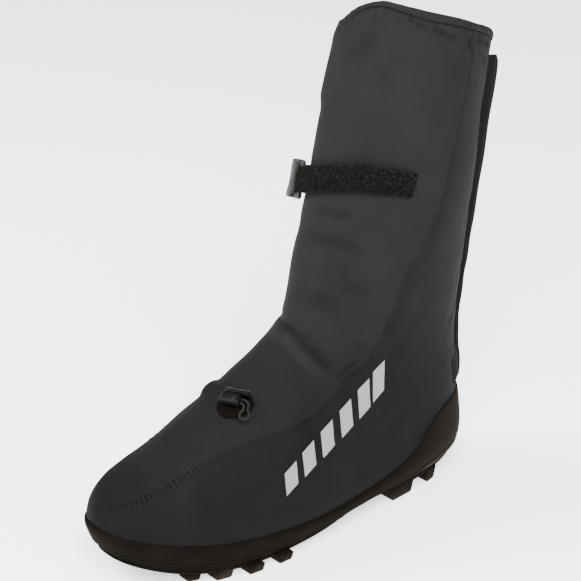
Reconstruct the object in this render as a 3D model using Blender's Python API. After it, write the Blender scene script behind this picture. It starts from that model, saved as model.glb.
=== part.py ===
"""Cycling overshoe for the left foot, with a fabric shaft, a rubber rand and a lugged sole.

The toe points to -Y, the heel to +Y, the outer side of the foot to +X and the floor is Z = 0.
Sizes are in millimetres and angles in degrees. The meshes themselves are in metres.
Every fabric or rubber layer is cut from one function, the last, which gives a closed ring
around the foot and the leg at each level, from the feather edge (level 0) to the collar (level 10).
A turn goes around a ring: 0 at the toe or shin, 90 at the outer side, 180 at the heel or calf.
"""

import bmesh
import bpy
import numpy as np

MM = 0.001

# Where the middle of the whole shoe's box lies in the frame of the tables below.
BOX_MIDDLE_X = -0.17
BOX_MIDDLE_Y = 12.14

# Layers, counted outwards from the outer face of the upper.
WALL = 1.6
SEAT_GAP = 0.4
HEM_STEP = 0.9
HEM_LEVEL = 9.88
HEM_RISE = 0.012          # levels over which the hem steps out
HEM_ROUND_LEVEL = 9.94    # where the hem begins to round over
RAND_THICKNESS = 1.6
RAND_GAP = 0.6
RAND_EDGE_THIN = 0.6      # share of its thickness that the rand loses at its upper edge

# Rings of the last, from the feather edge to the collar.
# front and back are the ends of the ring in the middle plane, lateral and medial its half widths,
# widest the share of its depth where it is widest and the powers say how full its two ends are.
# swing turns the toe inwards, dip lowers the ball of the foot, slant lifts the outer side
# and waist draws the arch in.
LAST_COLUMNS = ("front_y", "front_z", "back_y", "back_z", "lateral", "medial", "widest",
                "front_power", "back_power", "swing", "dip", "slant", "waist")
LAST = np.array([
    (-149.5, 27.5, 150.0, 17.0, 45.5, 45.0, 0.36, 2.50, 2.50, -10.0, 12.0, 0.0, 7.0),
    (-154.0, 46.5, 151.0, 32.0, 51.5, 51.5, 0.36, 2.40, 2.40, -9.0, 9.0, 0.0, 6.0),
    (-143.5, 65.0, 150.5, 51.0, 50.0, 50.0, 0.38, 2.30, 2.30, -8.0, 5.0, 0.0, 4.0),
    (-107.5, 82.0, 150.0, 76.5, 46.5, 46.5, 0.43, 2.15, 2.20, -5.0, 2.0, 0.0, 2.0),
    (-66.0, 102.0, 147.5, 101.0, 43.5, 44.0, 0.50, 2.00, 2.00, -2.0, 0.0, 0.0, 0.0),
    (-27.5, 120.0, 149.5, 125.0, 43.0, 42.5, 0.52, 2.00, 1.80, 0.0, 0.0, 0.0, 0.0),
    (0.5, 141.5, 153.0, 148.5, 44.5, 44.5, 0.50, 2.00, 1.65, 0.0, 0.0, 2.0, 0.0),
    (14.5, 181.0, 157.0, 176.5, 47.0, 47.5, 0.47, 2.10, 1.55, 0.0, 0.0, 4.0, 0.0),
    (31.0, 229.5, 162.5, 214.5, 48.5, 48.5, 0.45, 2.20, 1.50, 0.0, 0.0, 6.0, 0.0),
    (43.5, 283.0, 168.0, 254.5, 48.5, 48.5, 0.43, 2.20, 1.45, 0.0, 0.0, 9.0, 0.0),
    (60.5, 349.0, 175.0, 301.5, 48.0, 46.0, 0.42, 2.20, 1.40, 0.0, 0.0, 12.0, 0.0),
])
COLLAR = len(LAST) - 1.0
BALL_BEND = 0.58      # power that sets how far forward the ball's low point lies
WAIST_PLACE = 0.62    # share of the length at the arch
WAIST_SPREAD = 0.16
WAIST_OUTER_SHARE = 0.4
TURN_STEPS = 56       # points around every ring of the upper, the rand and the sole

# Levels of the upper's rings: close together over the rounded foot, wider up the leg.
FOOT_LEVELS = np.arange(0.0, 3.0, 0.25)
LEG_LEVELS = np.arange(3.0, 9.6, 0.5)

# Height of the rand, columns place from toe (0) to heel (1) and top level.
RAND = np.array([(0.0, 0.82), (0.12, 0.86), (0.30, 0.78), (0.50, 0.55), (0.66, 0.72),
                 (0.78, 1.30), (0.85, 2.05), (0.92, 2.26), (1.0, 2.36)])
RAND_ROWS = 7

# Thickness of the sole under the feather edge, columns place and thickness.
SOLE = np.array([(0.0, 8.5), (0.12, 8.9), (0.34, 8.0), (0.48, 7.5), (0.55, 5.5), (0.60, 4.0),
                 (0.67, 5.0), (0.72, 8.5), (0.86, 9.0), (1.0, 7.5)])
# Steps of the sole's side, columns share of the way down and inset.
SOLE_SIDE = ((0.0, 0.8), (0.34, 0.8), (0.42, 2.4), (0.80, 2.8), (1.0, 5.0))

# Lugs, a row for each pair: middle and length along the foot, inset of the outer face from
# the feather edge, width across, and height of the tread face above the floor.
LUG_COLUMNS = ("middle_y", "length", "inset", "width", "tread_z")
LUGS = (
    (-105.0, 8.0, 9.0, 10.0, 0.4),
    (-88.0, 11.0, 3.5, 11.0, 0.0),
    (-67.0, 10.5, -1.0, 12.0, 0.0),
    (-43.5, 10.5, -2.0, 12.0, 0.0),
    (-97.0, 8.0, 23.0, 9.0, 0.4),
    (-81.0, 9.0, 20.0, 11.0, 0.0),
    (-61.0, 9.0, 19.0, 12.0, 0.0),
    (-39.0, 9.0, 18.0, 13.0, 0.0),
    (75.0, 20.0, 3.5, 20.0, 0.0),
    (106.5, 9.0, 2.5, 18.0, 0.0),
)
# Bars in the middle of the tread: middle and length along the foot, width, tread height.
BAR_COLUMNS = ("middle_y", "length", "width", "tread_z")
BARS = (
    (-20.0, 9.0, 30.0, 0.8),
    (93.5, 8.0, 26.0, 0.0),
)
LUG_TAPER = 1.3
LUG_ROOT = 2.5        # how deep a lug is rooted in the sole

# Back closure: two tapes pressed face to face, standing out behind the leg.
TAPE_TURN = 166.0
TAPE_LOW_LEVEL = 2.55
TAPE_HIGH_LEVEL = 9.82
TAPE_STEPS = 22
TAPE_THICKNESS = 1.9
TAPE_PARTING = 0.3
TAPE_WIDTH_HOOK = 9.5
TAPE_WIDTH_LOOP = 7.0
TAPE_FOOT_SHARE = 0.30    # width at the lower end as a share of the width at the top

# Calf strap: webbing led round the bar of a slot ring and back over itself.
WEBBING = 1.6
WEBBING_GAP = 0.5         # space under it, more than SEAT_GAP as it spans the upper in straight steps
WEBBING_STEP = 6.0        # degrees between the webbing's points
WEBBING_END_INSET = 1.6   # how far the corners of its ends are drawn in
STRAP_WIDTH = 17.0
# Line of the strap, columns turn and level.
STRAP = np.array([(-90.0, 7.96), (-60.0, 7.98), (-43.0, 8.00), (-33.0, 8.03), (-18.0, 8.09),
                  (0.0, 8.17), (25.0, 8.24), (50.0, 8.19), (70.0, 8.13)])
STRAP_SEWN_TURN = 40.0
STRAP_END_TURN = 68.0
ANCHOR_SEWN_TURN = -74.0
RING_NEAR_TURN = -33.0
RING_NEAR_LIFT = 4.4
RING_FAR_TURN = -43.0
RING_FAR_LIFT = 8.8
RING_INNER_HEIGHT = 18.2  # length of its slot
RING_BAR = 2.6            # width of its long bars, and thickness of the ring
RING_END = 4.0            # width of its short ends
RING_EDGE = 0.65          # bevel of its edges
RING_CORNER = 1.8
RING_SLOT_CORNER = 0.8
RING_CORNER_STEPS = 4
RING_CLEAR = 0.5          # space between a bar and the webbing around it
RING_GRIP = 12.0          # degrees from the near bar where webbing lies square to the ring
RING_GRIP_FADE = 6.0      # degrees over which it turns back to the line of the leg
FOLD_STEPS = 7
FOLD_REACH = 17.0         # degrees from the bar where the webbing leaves the upper
FOLD_LAND = 12.0          # degrees over which the free end comes down past the sewn end

# Drawcord over the instep: tunnel, patch, lock and loop.
# Line of the tunnel, columns turn and level.
TUNNEL = np.array([(-66.0, 3.45), (-42.0, 3.87), (-20.0, 4.09), (-7.0, 4.20)])
TUNNEL_WIDTH = 16.0
TUNNEL_CROWN = 2.6
TUNNEL_EDGE = 0.7
TUNNEL_STEPS = 15
TUNNEL_ACROSS = 7         # points across its width
TUNNEL_FADE = 0.12        # share of its length by which each end is cut short of flat
PATCH_TURN = 13.0
PATCH_LEVEL = 4.20
PATCH_RADIUS = 12.0
PATCH_THICKNESS = 0.9
PATCH_STEPS = 20
PATCH_RINGS = (0.35, 0.7, 1.0)
LOCK_TURN = 12.0
LOCK_LEVEL = 4.19
LOCK_LENGTH = 13.5
LOCK_DEPTH = 8.0
LOCK_HEIGHT = 6.5
LOCK_BEVEL = 1.6
BEVEL_STEPS = 3
BUTTON_LENGTH = 16.5
BUTTON_DEPTH = 3.2
BUTTON_HEIGHT = 5.0
BUTTON_SHIFT = 3.0    # how far the button reaches past the lock's outer end
CORD_DIAMETER = 1.6
CORD_POINTS = 21
# Loop of the drawcord from the lock's outer end and back, columns across and down the vamp and lift.
CORD_ROUTE = (
    (7.2, -1.4, 3.4), (9.0, -1.3, 3.3), (10.9, -0.8, 3.0), (12.4, 0.4, 2.6), (13.1, 2.0, 2.2),
    (13.3, 3.7, 1.8), (13.9, 5.4, 1.5), (15.2, 7.0, 1.4), (15.9, 9.0, 1.4), (15.2, 11.2, 1.5),
    (13.2, 12.3, 1.6), (10.9, 11.7, 1.7), (9.7, 9.8, 1.8), (9.9, 7.7, 2.0), (10.8, 6.0, 2.4),
    (11.0, 4.3, 2.9), (10.2, 2.8, 3.3), (8.8, 1.8, 3.5), (7.2, 1.4, 3.5),
)

TURN_PROBE = 0.6          # half the spans over which the last's directions are measured
LEVEL_PROBE = 0.01
SPAN_PROBE = 0.05
SHARP_EDGE = 40.0

COLOURS = {
    "shaft_fabric": ((0.045, 0.044, 0.048), 0.62),
    "rand_rubber": ((0.016, 0.013, 0.011), 0.55),
    "sole_rubber": ((0.040, 0.032, 0.026), 0.70),
    "tape": ((0.024, 0.024, 0.026), 0.85),
    "webbing": ((0.015, 0.014, 0.013), 0.90),
    "ring_plastic": ((0.090, 0.080, 0.078), 0.45),
    "lock_plastic": ((0.020, 0.019, 0.020), 0.30),
    "cord": ((0.060, 0.057, 0.055), 0.75),
}


def clear_scene():
    for old in list(bpy.data.objects):
        bpy.data.objects.remove(old, do_unlink=True)


def make_material(name):
    colour, roughness = COLOURS[name]
    material = bpy.data.materials.new(name)
    material.use_nodes = True
    shader = material.node_tree.nodes["Principled BSDF"]
    shader.inputs["Base Color"].default_value = (*colour, 1.0)
    shader.inputs["Roughness"].default_value = roughness
    shader.inputs["Metallic"].default_value = 0.0
    return material


def smooth_rows(table, at):
    """Rows of a table read at fractional row numbers, on a smooth curve through every row."""
    at = np.clip(np.asarray(at, float), 0.0, len(table) - 1.0)
    row = np.minimum(at.astype(int), len(table) - 2)
    t = (at - row)[..., None]
    ends = np.concatenate([[2 * table[0] - table[1]], table, [2 * table[-1] - table[-2]]])
    before, start, end, after = ends[row], ends[row + 1], ends[row + 2], ends[row + 3]
    slope = end - before
    bend = 2 * before - 5 * start + 4 * end - after
    twist = 3 * start - before - 3 * end + after
    return 0.5 * (2 * start + slope * t + bend * t ** 2 + twist * t ** 3)


def last_point(turn, level):
    """Point on the outer face of the upper, and its place from toe or shin (0) to heel or calf (1)."""
    turn, level = np.broadcast_arrays(np.radians(turn), np.asarray(level, float))
    row = dict(zip(LAST_COLUMNS, np.moveaxis(smooth_rows(LAST, level), -1, 0)))
    ahead, aside = np.cos(turn), np.sin(turn)
    power = np.where(ahead > 0, row["front_power"], row["back_power"])
    along = np.abs(ahead) ** (2 / power)
    across = np.sign(aside) * np.abs(aside) ** (2 / power)
    place = np.where(ahead > 0, row["widest"] * (1 - along), row["widest"] + (1 - row["widest"]) * along)
    pinch = row["waist"] * np.exp(-((place - WAIST_PLACE) / WAIST_SPREAD) ** 2)
    half = np.where(aside > 0, row["lateral"] - WAIST_OUTER_SHARE * pinch, row["medial"] - pinch)
    sink = row["dip"] * np.sin(np.pi * place ** BALL_BEND) ** 2
    x = half * across + row["swing"] * np.where(ahead > 0, along, 0.0) ** 2
    y = row["front_y"] + (row["back_y"] - row["front_y"]) * place
    z = row["front_z"] + (row["back_z"] - row["front_z"]) * place - sink + row["slant"] * across
    return np.stack([x, y, z], axis=-1), place


def unit(vector):
    return vector / np.linalg.norm(vector, axis=-1, keepdims=True)


def last_axes(turn, level):
    """Unit vectors around the ring, up the shoe and outwards at a point of the last."""
    turn, level = np.broadcast_arrays(np.asarray(turn, float), np.asarray(level, float))
    around = last_point(turn + TURN_PROBE, level)[0] - last_point(turn - TURN_PROBE, level)[0]
    above = np.minimum(level + LEVEL_PROBE, COLLAR)
    below = np.maximum(level - LEVEL_PROBE, 0.0)
    up = last_point(turn, above)[0] - last_point(turn, below)[0]
    outward = unit(np.cross(around, up))
    around = unit(around)
    return around, np.cross(outward, around), outward


def span_per_level(turn, level):
    """Millimetres up the face of the last for each level."""
    rise = last_point(turn, level + SPAN_PROBE)[0] - last_point(turn, level - SPAN_PROBE)[0]
    return np.linalg.norm(rise, axis=-1) / (2 * SPAN_PROBE)


def skin(turn, level, lift):
    """Point at a given height off the outer face of the upper."""
    outward = last_axes(turn, level)[2]
    return last_point(turn, level)[0] + outward * np.asarray(lift, float)[..., None]


def rows_by(table, key_value):
    """Second column of a two-column table, read smoothly at values of its first column."""
    at = np.interp(key_value, table[:, 0], np.arange(len(table)))
    return smooth_rows(table, at)[..., 1]


def add_object(name, points, faces, material):
    """One closed mesh object, from points in millimetres, with its faces turned outwards."""
    shift = np.array([BOX_MIDDLE_X, BOX_MIDDLE_Y, 0.0])
    mesh = bpy.data.meshes.new(name)
    shape = bmesh.new()
    corners = [shape.verts.new((np.asarray(point) - shift) * MM) for point in points]
    for face in faces:
        shape.faces.new([corners[i] for i in face])
    bmesh.ops.recalc_face_normals(shape, faces=shape.faces[:])
    shape.to_mesh(mesh)
    shape.free()
    mesh.shade_smooth()
    mesh.set_sharp_from_angle(angle=np.radians(SHARP_EDGE))
    mesh.materials.append(material)
    piece = bpy.data.objects.new(name, mesh)
    bpy.context.collection.objects.link(piece)
    return piece


def ring_faces(rows, count, closed):
    """Quads between neighbouring rings of equal count, back to the first ring if closed."""
    faces = []
    for row in range(rows if closed else rows - 1):
        here, there = row * count, (row + 1) % rows * count
        for i in range(count):
            j = (i + 1) % count
            faces.append((here + i, here + j, there + j, there + i))
    return faces


def cap_faces(start, count):
    """Strips across a ring, from its outer side to its inner side, that close it."""
    half = count // 2
    faces = [(start, start + 1, start + count - 1), (start + half - 1, start + half, start + half + 1)]
    for i in range(1, half - 1):
        faces.append((start + i, start + i + 1, start + count - i - 1, start + count - i))
    return faces


def ring_turns():
    return np.arange(TURN_STEPS) * 360.0 / TURN_STEPS


def build_upper(material):
    """Hollow upper: outer and inner face, open at the collar and underneath, with a stepped hem."""
    turns = ring_turns()
    hem = [HEM_LEVEL - HEM_RISE, HEM_LEVEL, HEM_ROUND_LEVEL, COLLAR]
    levels = np.concatenate([FOOT_LEVELS, LEG_LEVELS, hem])
    lifts = np.where(levels >= HEM_LEVEL, HEM_STEP, 0.0)
    lifts[-1] = 0.5 * HEM_STEP
    outer = [skin(turns, level, np.full(TURN_STEPS, lift)) for level, lift in zip(levels, lifts)]
    keep = [i for i, level in enumerate(levels) if level != hem[0]]
    inner = [skin(turns, levels[i], np.full(TURN_STEPS, -WALL)) for i in reversed(keep)]
    rings = outer + inner
    return add_object("upper", np.concatenate(rings), ring_faces(len(rings), TURN_STEPS, True), material)


def build_rand(material):
    """Rubber rand around the lower edge of the upper, rising to a counter at the heel."""
    turns = ring_turns()
    top = rows_by(RAND, last_point(turns, 0.0)[1])
    shares = np.linspace(0.0, 1.0, RAND_ROWS + 1)
    outside = RAND_GAP + RAND_THICKNESS
    rings = [skin(turns, top * share, np.full(TURN_STEPS, outside)) for share in shares[:-1]]
    rings.append(skin(turns, top, np.full(TURN_STEPS, outside - RAND_EDGE_THIN * RAND_THICKNESS)))
    rings += [skin(turns, top * share, np.full(TURN_STEPS, RAND_GAP)) for share in shares[::-1]]
    return add_object("rand", np.concatenate(rings), ring_faces(len(rings), TURN_STEPS, True), material)


def feather_inset(inset):
    """Ring of the feather edge drawn in by a given width, level by level of the floor plan."""
    turns = ring_turns()
    edge, place = last_point(turns, 0.0)
    ahead, behind = np.roll(edge, -1, axis=0), np.roll(edge, 1, axis=0)
    along = unit((ahead - behind)[:, :2])
    inward = np.stack([-along[:, 1], along[:, 0], np.zeros(TURN_STEPS)], axis=-1)
    return edge + inward * inset, place


def edge_at(y, side, inset):
    """Half width of the sole at a place along the foot, drawn in by an inset."""
    ring = feather_inset(inset)[0]
    half = ring[:TURN_STEPS // 2 + 1] if side > 0 else np.roll(ring[::-1], 1, axis=0)[:TURN_STEPS // 2 + 1]
    return np.interp(y, half[:, 1], half[:, 0])


def sole_base(y):
    """Height of the underside of the sole between the lugs."""
    ring, place = feather_inset(0.0)
    half = TURN_STEPS // 2 + 1
    base = ring[:half, 2] - SEAT_GAP - rows_by(SOLE, place[:half])
    return np.interp(y, ring[:half, 1], base)


def block(ends, tread_z):
    """Tapered block between two places along the foot, each with its own two sides."""
    points = []
    for z, grow in ((None, LUG_TAPER), (tread_z, 0.0)):
        for y, low_x, high_x, out in ends:
            root = sole_base(y) + LUG_ROOT
            height = root if z is None else z
            points.append((low_x - grow, y + out * grow, height))
            points.append((high_x + grow, y + out * grow, height))
    return points


def lug_blocks():
    blocks = []
    for values in LUGS:
        lug = dict(zip(LUG_COLUMNS, values))
        front, back = (lug["middle_y"] + s * 0.5 * lug["length"] for s in (-1, 1))
        for side in (-1, 1):
            ends = []
            for y, out in ((front, -1), (back, 1)):
                outer = edge_at(y, side, lug["inset"])
                low, high = sorted((outer, outer - side * lug["width"]))
                ends.append((y, low, high, out))
            blocks.append(block(ends, lug["tread_z"]))
    for values in BARS:
        bar = dict(zip(BAR_COLUMNS, values))
        ends = []
        for out in (-1, 1):
            y = bar["middle_y"] + out * 0.5 * bar["length"]
            middle = 0.5 * (edge_at(y, 1, 0.0) + edge_at(y, -1, 0.0))
            ends.append((y, middle - 0.5 * bar["width"], middle + 0.5 * bar["width"], out))
        blocks.append(block(ends, bar["tread_z"]))
    return blocks


def build_outsole(material):
    """Sole with stepped sides and an arch, and the lugs joined to its underside."""
    rings = []
    for share, inset in SOLE_SIDE:
        ring, place = feather_inset(inset)
        ring[:, 2] -= SEAT_GAP + share * rows_by(SOLE, place)
        rings.append(ring)
    faces = ring_faces(len(rings), TURN_STEPS, False)
    faces += cap_faces(0, TURN_STEPS) + cap_faces((len(rings) - 1) * TURN_STEPS, TURN_STEPS)
    sole = add_object("outsole", np.concatenate(rings), faces, material)
    box = [(0, 1, 3, 2), (4, 5, 7, 6), (0, 1, 5, 4), (2, 3, 7, 6), (0, 2, 6, 4), (1, 3, 7, 5)]
    points, sides = [], []
    for corners in lug_blocks():
        sides += [tuple(len(points) + i for i in side) for side in box]
        points += corners
    lugs = add_object("lug_blocks", points, sides, material)
    lugs.hide_render = True
    lugs.display_type = "WIRE"
    join = sole.modifiers.new("lugs", "BOOLEAN")
    join.operation = "UNION"
    join.solver = "EXACT"
    join.use_self = True
    join.object = lugs
    return sole


def build_tape(name, side, width, material):
    """Closure tape standing out behind the leg, on one side of the line where the two meet."""
    levels = np.linspace(TAPE_LOW_LEVEL, TAPE_HIGH_LEVEL, TAPE_STEPS)
    turns = np.full(TAPE_STEPS, TAPE_TURN)
    root = skin(turns, levels, np.full(TAPE_STEPS, SEAT_GAP))
    out = last_axes(turns, levels)[2] * np.array([1.0, 1.0, 0.0])
    out = unit(out)
    aside = np.stack([out[:, 1], -out[:, 0], np.zeros(TAPE_STEPS)], axis=-1) * side
    near, far = 0.5 * TAPE_PARTING, 0.5 * TAPE_PARTING + TAPE_THICKNESS
    grow = np.linspace(TAPE_FOOT_SHARE, 1.0, TAPE_STEPS)
    points = []
    for point, ahead, beside, share in zip(root, out, aside, grow):
        for x, reach in ((near, 0.0), (far, 0.0), (far, width * share), (near, width * share)):
            points.append(point + x * beside + reach * ahead)
    faces = ring_faces(TAPE_STEPS, 4, False) + [(0, 1, 2, 3)]
    faces.append(tuple(4 * (TAPE_STEPS - 1) + i for i in range(4)))
    return add_object(name, points, faces, material)


def strap_level(turn):
    return rows_by(STRAP, turn)


def strap_speed(turn):
    """Millimetres along the strap's line for each degree of turn."""
    span = 1.0
    ends = [last_point(t, strap_level(t))[0] for t in (turn - span, turn + span)]
    return np.linalg.norm(ends[1] - ends[0]) / (2 * span)


def ring_axes():
    """Middles of the slot ring's two long bars, and its axes across, along the bars and outwards."""
    bars = []
    for turn, lift in ((RING_NEAR_TURN, RING_NEAR_LIFT), (RING_FAR_TURN, RING_FAR_LIFT)):
        bars.append(skin(np.array(turn), strap_level(turn), np.array(lift)))
    across = unit(bars[1] - bars[0])
    up = last_axes(np.array(RING_NEAR_TURN), strap_level(RING_NEAR_TURN))[1]
    up = unit(up - across * np.dot(up, across))
    return bars, across, up, np.cross(across, up)


def build_webbing(name, route, material):
    """Flat webbing along a route of turns and heights off the upper, with softened ends."""
    turns, lifts = np.array(route).T
    levels = strap_level(turns)
    middle = skin(turns, levels, lifts)
    off_bar = (np.abs(turns - RING_NEAR_TURN) - RING_GRIP) / RING_GRIP_FADE
    at_bar = 1 - np.clip(off_bar, 0.0, 1.0)[:, None]
    up = last_axes(turns, levels)[1] * (1 - at_bar) + ring_axes()[2] * at_bar
    heading = unit(np.gradient(middle, axis=0))
    side = unit(up - heading * np.sum(up * heading, axis=1, keepdims=True))
    face = np.cross(heading, side)
    half = np.full(len(turns), 0.5 * STRAP_WIDTH)
    half[[0, -1]] -= WEBBING_END_INSET
    points = []
    for centre, edge, out, reach in zip(middle, side, face, half):
        for a, b in ((-1, -1), (1, -1), (1, 1), (-1, 1)):
            points.append(centre + a * reach * edge + b * 0.5 * WEBBING * out)
    count = len(turns)
    faces = ring_faces(count, 4, False) + [(0, 1, 2, 3)]
    faces.append(tuple(4 * (count - 1) + i for i in range(4)))
    return add_object(name, points, faces, material)


def hairpin(sewn_turn, end_turn, bar_turn, bar_lift):
    """Route of webbing sewn down at one turn, led round a bar and laid back to another turn."""
    low = WEBBING_GAP + 0.5 * WEBBING
    high = low + WEBBING + SEAT_GAP
    radius = 0.5 * RING_BAR + RING_CLEAR + 0.5 * WEBBING
    way = np.sign(bar_turn - sewn_turn)
    speed = strap_speed(bar_turn)
    bend = np.radians(np.linspace(-90.0, 90.0, FOLD_STEPS))
    fold = [(bar_turn + way * radius * np.cos(a) / speed, bar_lift + radius * np.sin(a)) for a in bend]
    near = bar_turn - way * FOLD_REACH
    under = np.linspace(sewn_turn, near, max(2, int(abs(near - sewn_turn) / WEBBING_STEP) + 1))
    over = np.linspace(near, end_turn, max(2, int(abs(end_turn - near) / WEBBING_STEP) + 1))
    shares = np.array([0.2, 0.4, 0.6, 0.8])
    rise = shares ** 2 * (3 - 2 * shares)
    route = [(turn, low) for turn in under]
    route += list(zip(near + shares * (bar_turn - near), low + rise * (fold[0][1] - low)))
    route += fold
    route += list(zip(near + shares[::-1] * (bar_turn - near), high + rise[::-1] * (fold[-1][1] - high)))
    for turn in over:
        past = np.clip(way * (sewn_turn - turn) / FOLD_LAND, 0.0, 1.0)
        route.append((turn, high + past * (low - high)))
    return route


def build_strap(material):
    route = hairpin(STRAP_SEWN_TURN, STRAP_END_TURN, RING_NEAR_TURN, RING_NEAR_LIFT)
    return build_webbing("calf_strap", route, material)


def build_anchor(material):
    route = hairpin(ANCHOR_SEWN_TURN, ANCHOR_SEWN_TURN, RING_FAR_TURN, RING_FAR_LIFT)
    return build_webbing("ring_anchor", route, material)


def rounded_loop(half_wide, half_tall, radius):
    """Points around a rectangle with rounded corners, columns across and up."""
    points = []
    for sign_a, sign_b, start in ((1, 1, 0.0), (-1, 1, 90.0), (-1, -1, 180.0), (1, -1, 270.0)):
        for angle in np.radians(start + np.linspace(0.0, 90.0, RING_CORNER_STEPS)):
            points.append((sign_a * (half_wide - radius) + radius * np.cos(angle),
                           sign_b * (half_tall - radius) + radius * np.sin(angle)))
    return np.array(points)


def build_ring(material):
    """Slot ring: a moulded plate with one slot, its two long bars held by strap and anchor."""
    bars, across, up, out = ring_axes()
    centre = 0.5 * (bars[0] + bars[1])
    bar_reach = 0.5 * np.linalg.norm(bars[1] - bars[0])
    slot_wide, slot_tall = bar_reach - 0.5 * RING_BAR, 0.5 * RING_INNER_HEIGHT
    edge_wide, edge_tall = bar_reach + 0.5 * RING_BAR, slot_tall + RING_END
    face = 0.5 * RING_BAR
    wall = face - RING_EDGE
    loops = []
    for inset, lift in ((RING_EDGE, face), (0.0, wall), (0.0, -wall), (RING_EDGE, -face)):
        loops.append((rounded_loop(edge_wide - inset, edge_tall - inset, RING_CORNER - inset), lift))
    for inset, lift in ((RING_EDGE, -face), (0.0, -wall), (0.0, wall), (RING_EDGE, face)):
        loops.append((rounded_loop(slot_wide + inset, slot_tall + inset, RING_SLOT_CORNER + inset), lift))
    rings = [centre + loop[:, :1] * across + loop[:, 1:] * up + lift * out for loop, lift in loops]
    count = len(rings[0])
    return add_object("slot_ring", np.concatenate(rings), ring_faces(len(rings), count, True), material)


def build_tunnel(material):
    """Raised fabric tunnel for the drawcord, over the instep from the inner side."""
    turns = np.linspace(TUNNEL[0, 0], TUNNEL[-1, 0], TUNNEL_STEPS)
    middle = rows_by(TUNNEL, turns)
    across = np.linspace(-1.0, 1.0, TUNNEL_ACROSS)
    fade = np.sqrt(np.sin(np.pi * np.linspace(TUNNEL_FADE, 1 - TUNNEL_FADE, TUNNEL_STEPS)))
    points = []
    for turn, level, span, full in zip(turns, middle, span_per_level(turns, middle), fade):
        levels = level + across * 0.5 * TUNNEL_WIDTH / span
        crown = TUNNEL_EDGE + (TUNNEL_CROWN - TUNNEL_EDGE) * full * (1 - across ** 2)
        top = skin(np.full(len(across), turn), levels, SEAT_GAP + crown)
        bottom = skin(np.full(len(across), turn), levels, np.full(len(across), SEAT_GAP))
        points += list(top) + list(bottom[::-1])
    count = 2 * len(across)
    faces = ring_faces(len(turns), count, False)
    for start in (0, (len(turns) - 1) * count):
        for i in range(len(across) - 1):
            faces.append((start + i, start + i + 1, start + count - 2 - i, start + count - 1 - i))
    return add_object("instep_tunnel", points, faces, material)


def lock_frame():
    """Middle of the lock's seat and its axes: across the vamp, down the vamp and outwards."""
    around, up, outward = last_axes(np.array(LOCK_TURN), np.array(LOCK_LEVEL))
    seat = last_point(LOCK_TURN, LOCK_LEVEL)[0] + outward * (2 * SEAT_GAP + PATCH_THICKNESS)
    return seat, around, -up, outward


def build_patch(material):
    """Round reinforcing patch under the lock, following the upper."""
    sides = [last_point(PATCH_TURN + way * TURN_PROBE, PATCH_LEVEL)[0] for way in (-1, 1)]
    per_turn = np.linalg.norm(sides[1] - sides[0]) / (2 * TURN_PROBE)
    per_level = span_per_level(PATCH_TURN, PATCH_LEVEL)
    count = PATCH_STEPS
    angles = 2 * np.pi * np.arange(count) / count
    points = []
    for lift in (SEAT_GAP + PATCH_THICKNESS, SEAT_GAP):
        points.append(skin(np.array(PATCH_TURN), PATCH_LEVEL, np.array(lift)))
        for radius in PATCH_RINGS:
            turn = PATCH_TURN + radius * PATCH_RADIUS * np.cos(angles) / per_turn
            level = PATCH_LEVEL + radius * PATCH_RADIUS * np.sin(angles) / per_level
            points += list(skin(turn, level, np.full(count, lift)))
    faces = []
    face_points = 1 + len(PATCH_RINGS) * count
    for start in (0, face_points):
        for i in range(count):
            j = (i + 1) % count
            faces.append((start, start + 1 + i, start + 1 + j))
            for ring in (0, 1):
                here, there = start + 1 + ring * count, start + 1 + (ring + 1) * count
                faces.append((here + i, here + j, there + j, there + i))
    top, low = 1 + 2 * count, face_points + 1 + 2 * count
    for i in range(count):
        j = (i + 1) % count
        faces.append((top + i, top + j, low + j, low + i))
    return add_object("cord_patch", points, faces, material)


def build_block(name, size, middle, bevel, material):
    """Rounded block in the lock's frame: size and middle across, down and outwards."""
    seat, across, down, outward = lock_frame()
    points = []
    for a in (-0.5, 0.5):
        for b in (-0.5, 0.5):
            for c in (-0.5, 0.5):
                place = np.array(middle) + np.array((a, b, c)) * size
                points.append(seat + place[0] * across + place[1] * down + place[2] * outward)
    faces = [(0, 1, 3, 2), (4, 5, 7, 6), (0, 1, 5, 4), (2, 3, 7, 6), (0, 2, 6, 4), (1, 3, 7, 5)]
    piece = add_object(name, points, faces, material)
    edge = piece.modifiers.new("soft_edges", "BEVEL")
    edge.width = bevel * MM
    edge.segments = BEVEL_STEPS
    edge.limit_method = "NONE"
    return piece


def build_lock(material):
    """Cord lock and the long button along its upper edge."""
    build_block("cord_lock", (LOCK_LENGTH, LOCK_DEPTH, LOCK_HEIGHT), (0.0, 0.0, 0.5 * LOCK_HEIGHT),
                LOCK_BEVEL, material)
    above = 0.5 * (LOCK_DEPTH + BUTTON_DEPTH) + SEAT_GAP
    build_block("lock_button", (BUTTON_LENGTH, BUTTON_DEPTH, BUTTON_HEIGHT),
                (BUTTON_SHIFT, -above, 0.5 * LOCK_HEIGHT), 0.5 * LOCK_BEVEL, material)


def build_cord(material):
    """Loop of the drawcord, out of the lock's outer end and back into it."""
    seat, across, down, outward = lock_frame()
    route = np.array(CORD_ROUTE)
    fine = smooth_rows(route, np.linspace(0.0, len(route) - 1.0, CORD_POINTS))
    shift = np.array([BOX_MIDDLE_X, BOX_MIDDLE_Y, 0.0])
    curve = bpy.data.curves.new("drawcord_loop", "CURVE")
    curve.dimensions = "3D"
    curve.bevel_depth = 0.5 * CORD_DIAMETER * MM
    curve.bevel_resolution = 2
    curve.use_fill_caps = True
    spline = curve.splines.new("POLY")
    spline.points.add(len(fine) - 1)
    for point, (a, b, c) in zip(spline.points, fine):
        place = (seat + a * across + b * down + c * outward - shift) * MM
        point.co = (*place, 1.0)
    curve.materials.append(material)
    bpy.context.collection.objects.link(bpy.data.objects.new("drawcord_loop", curve))


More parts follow.
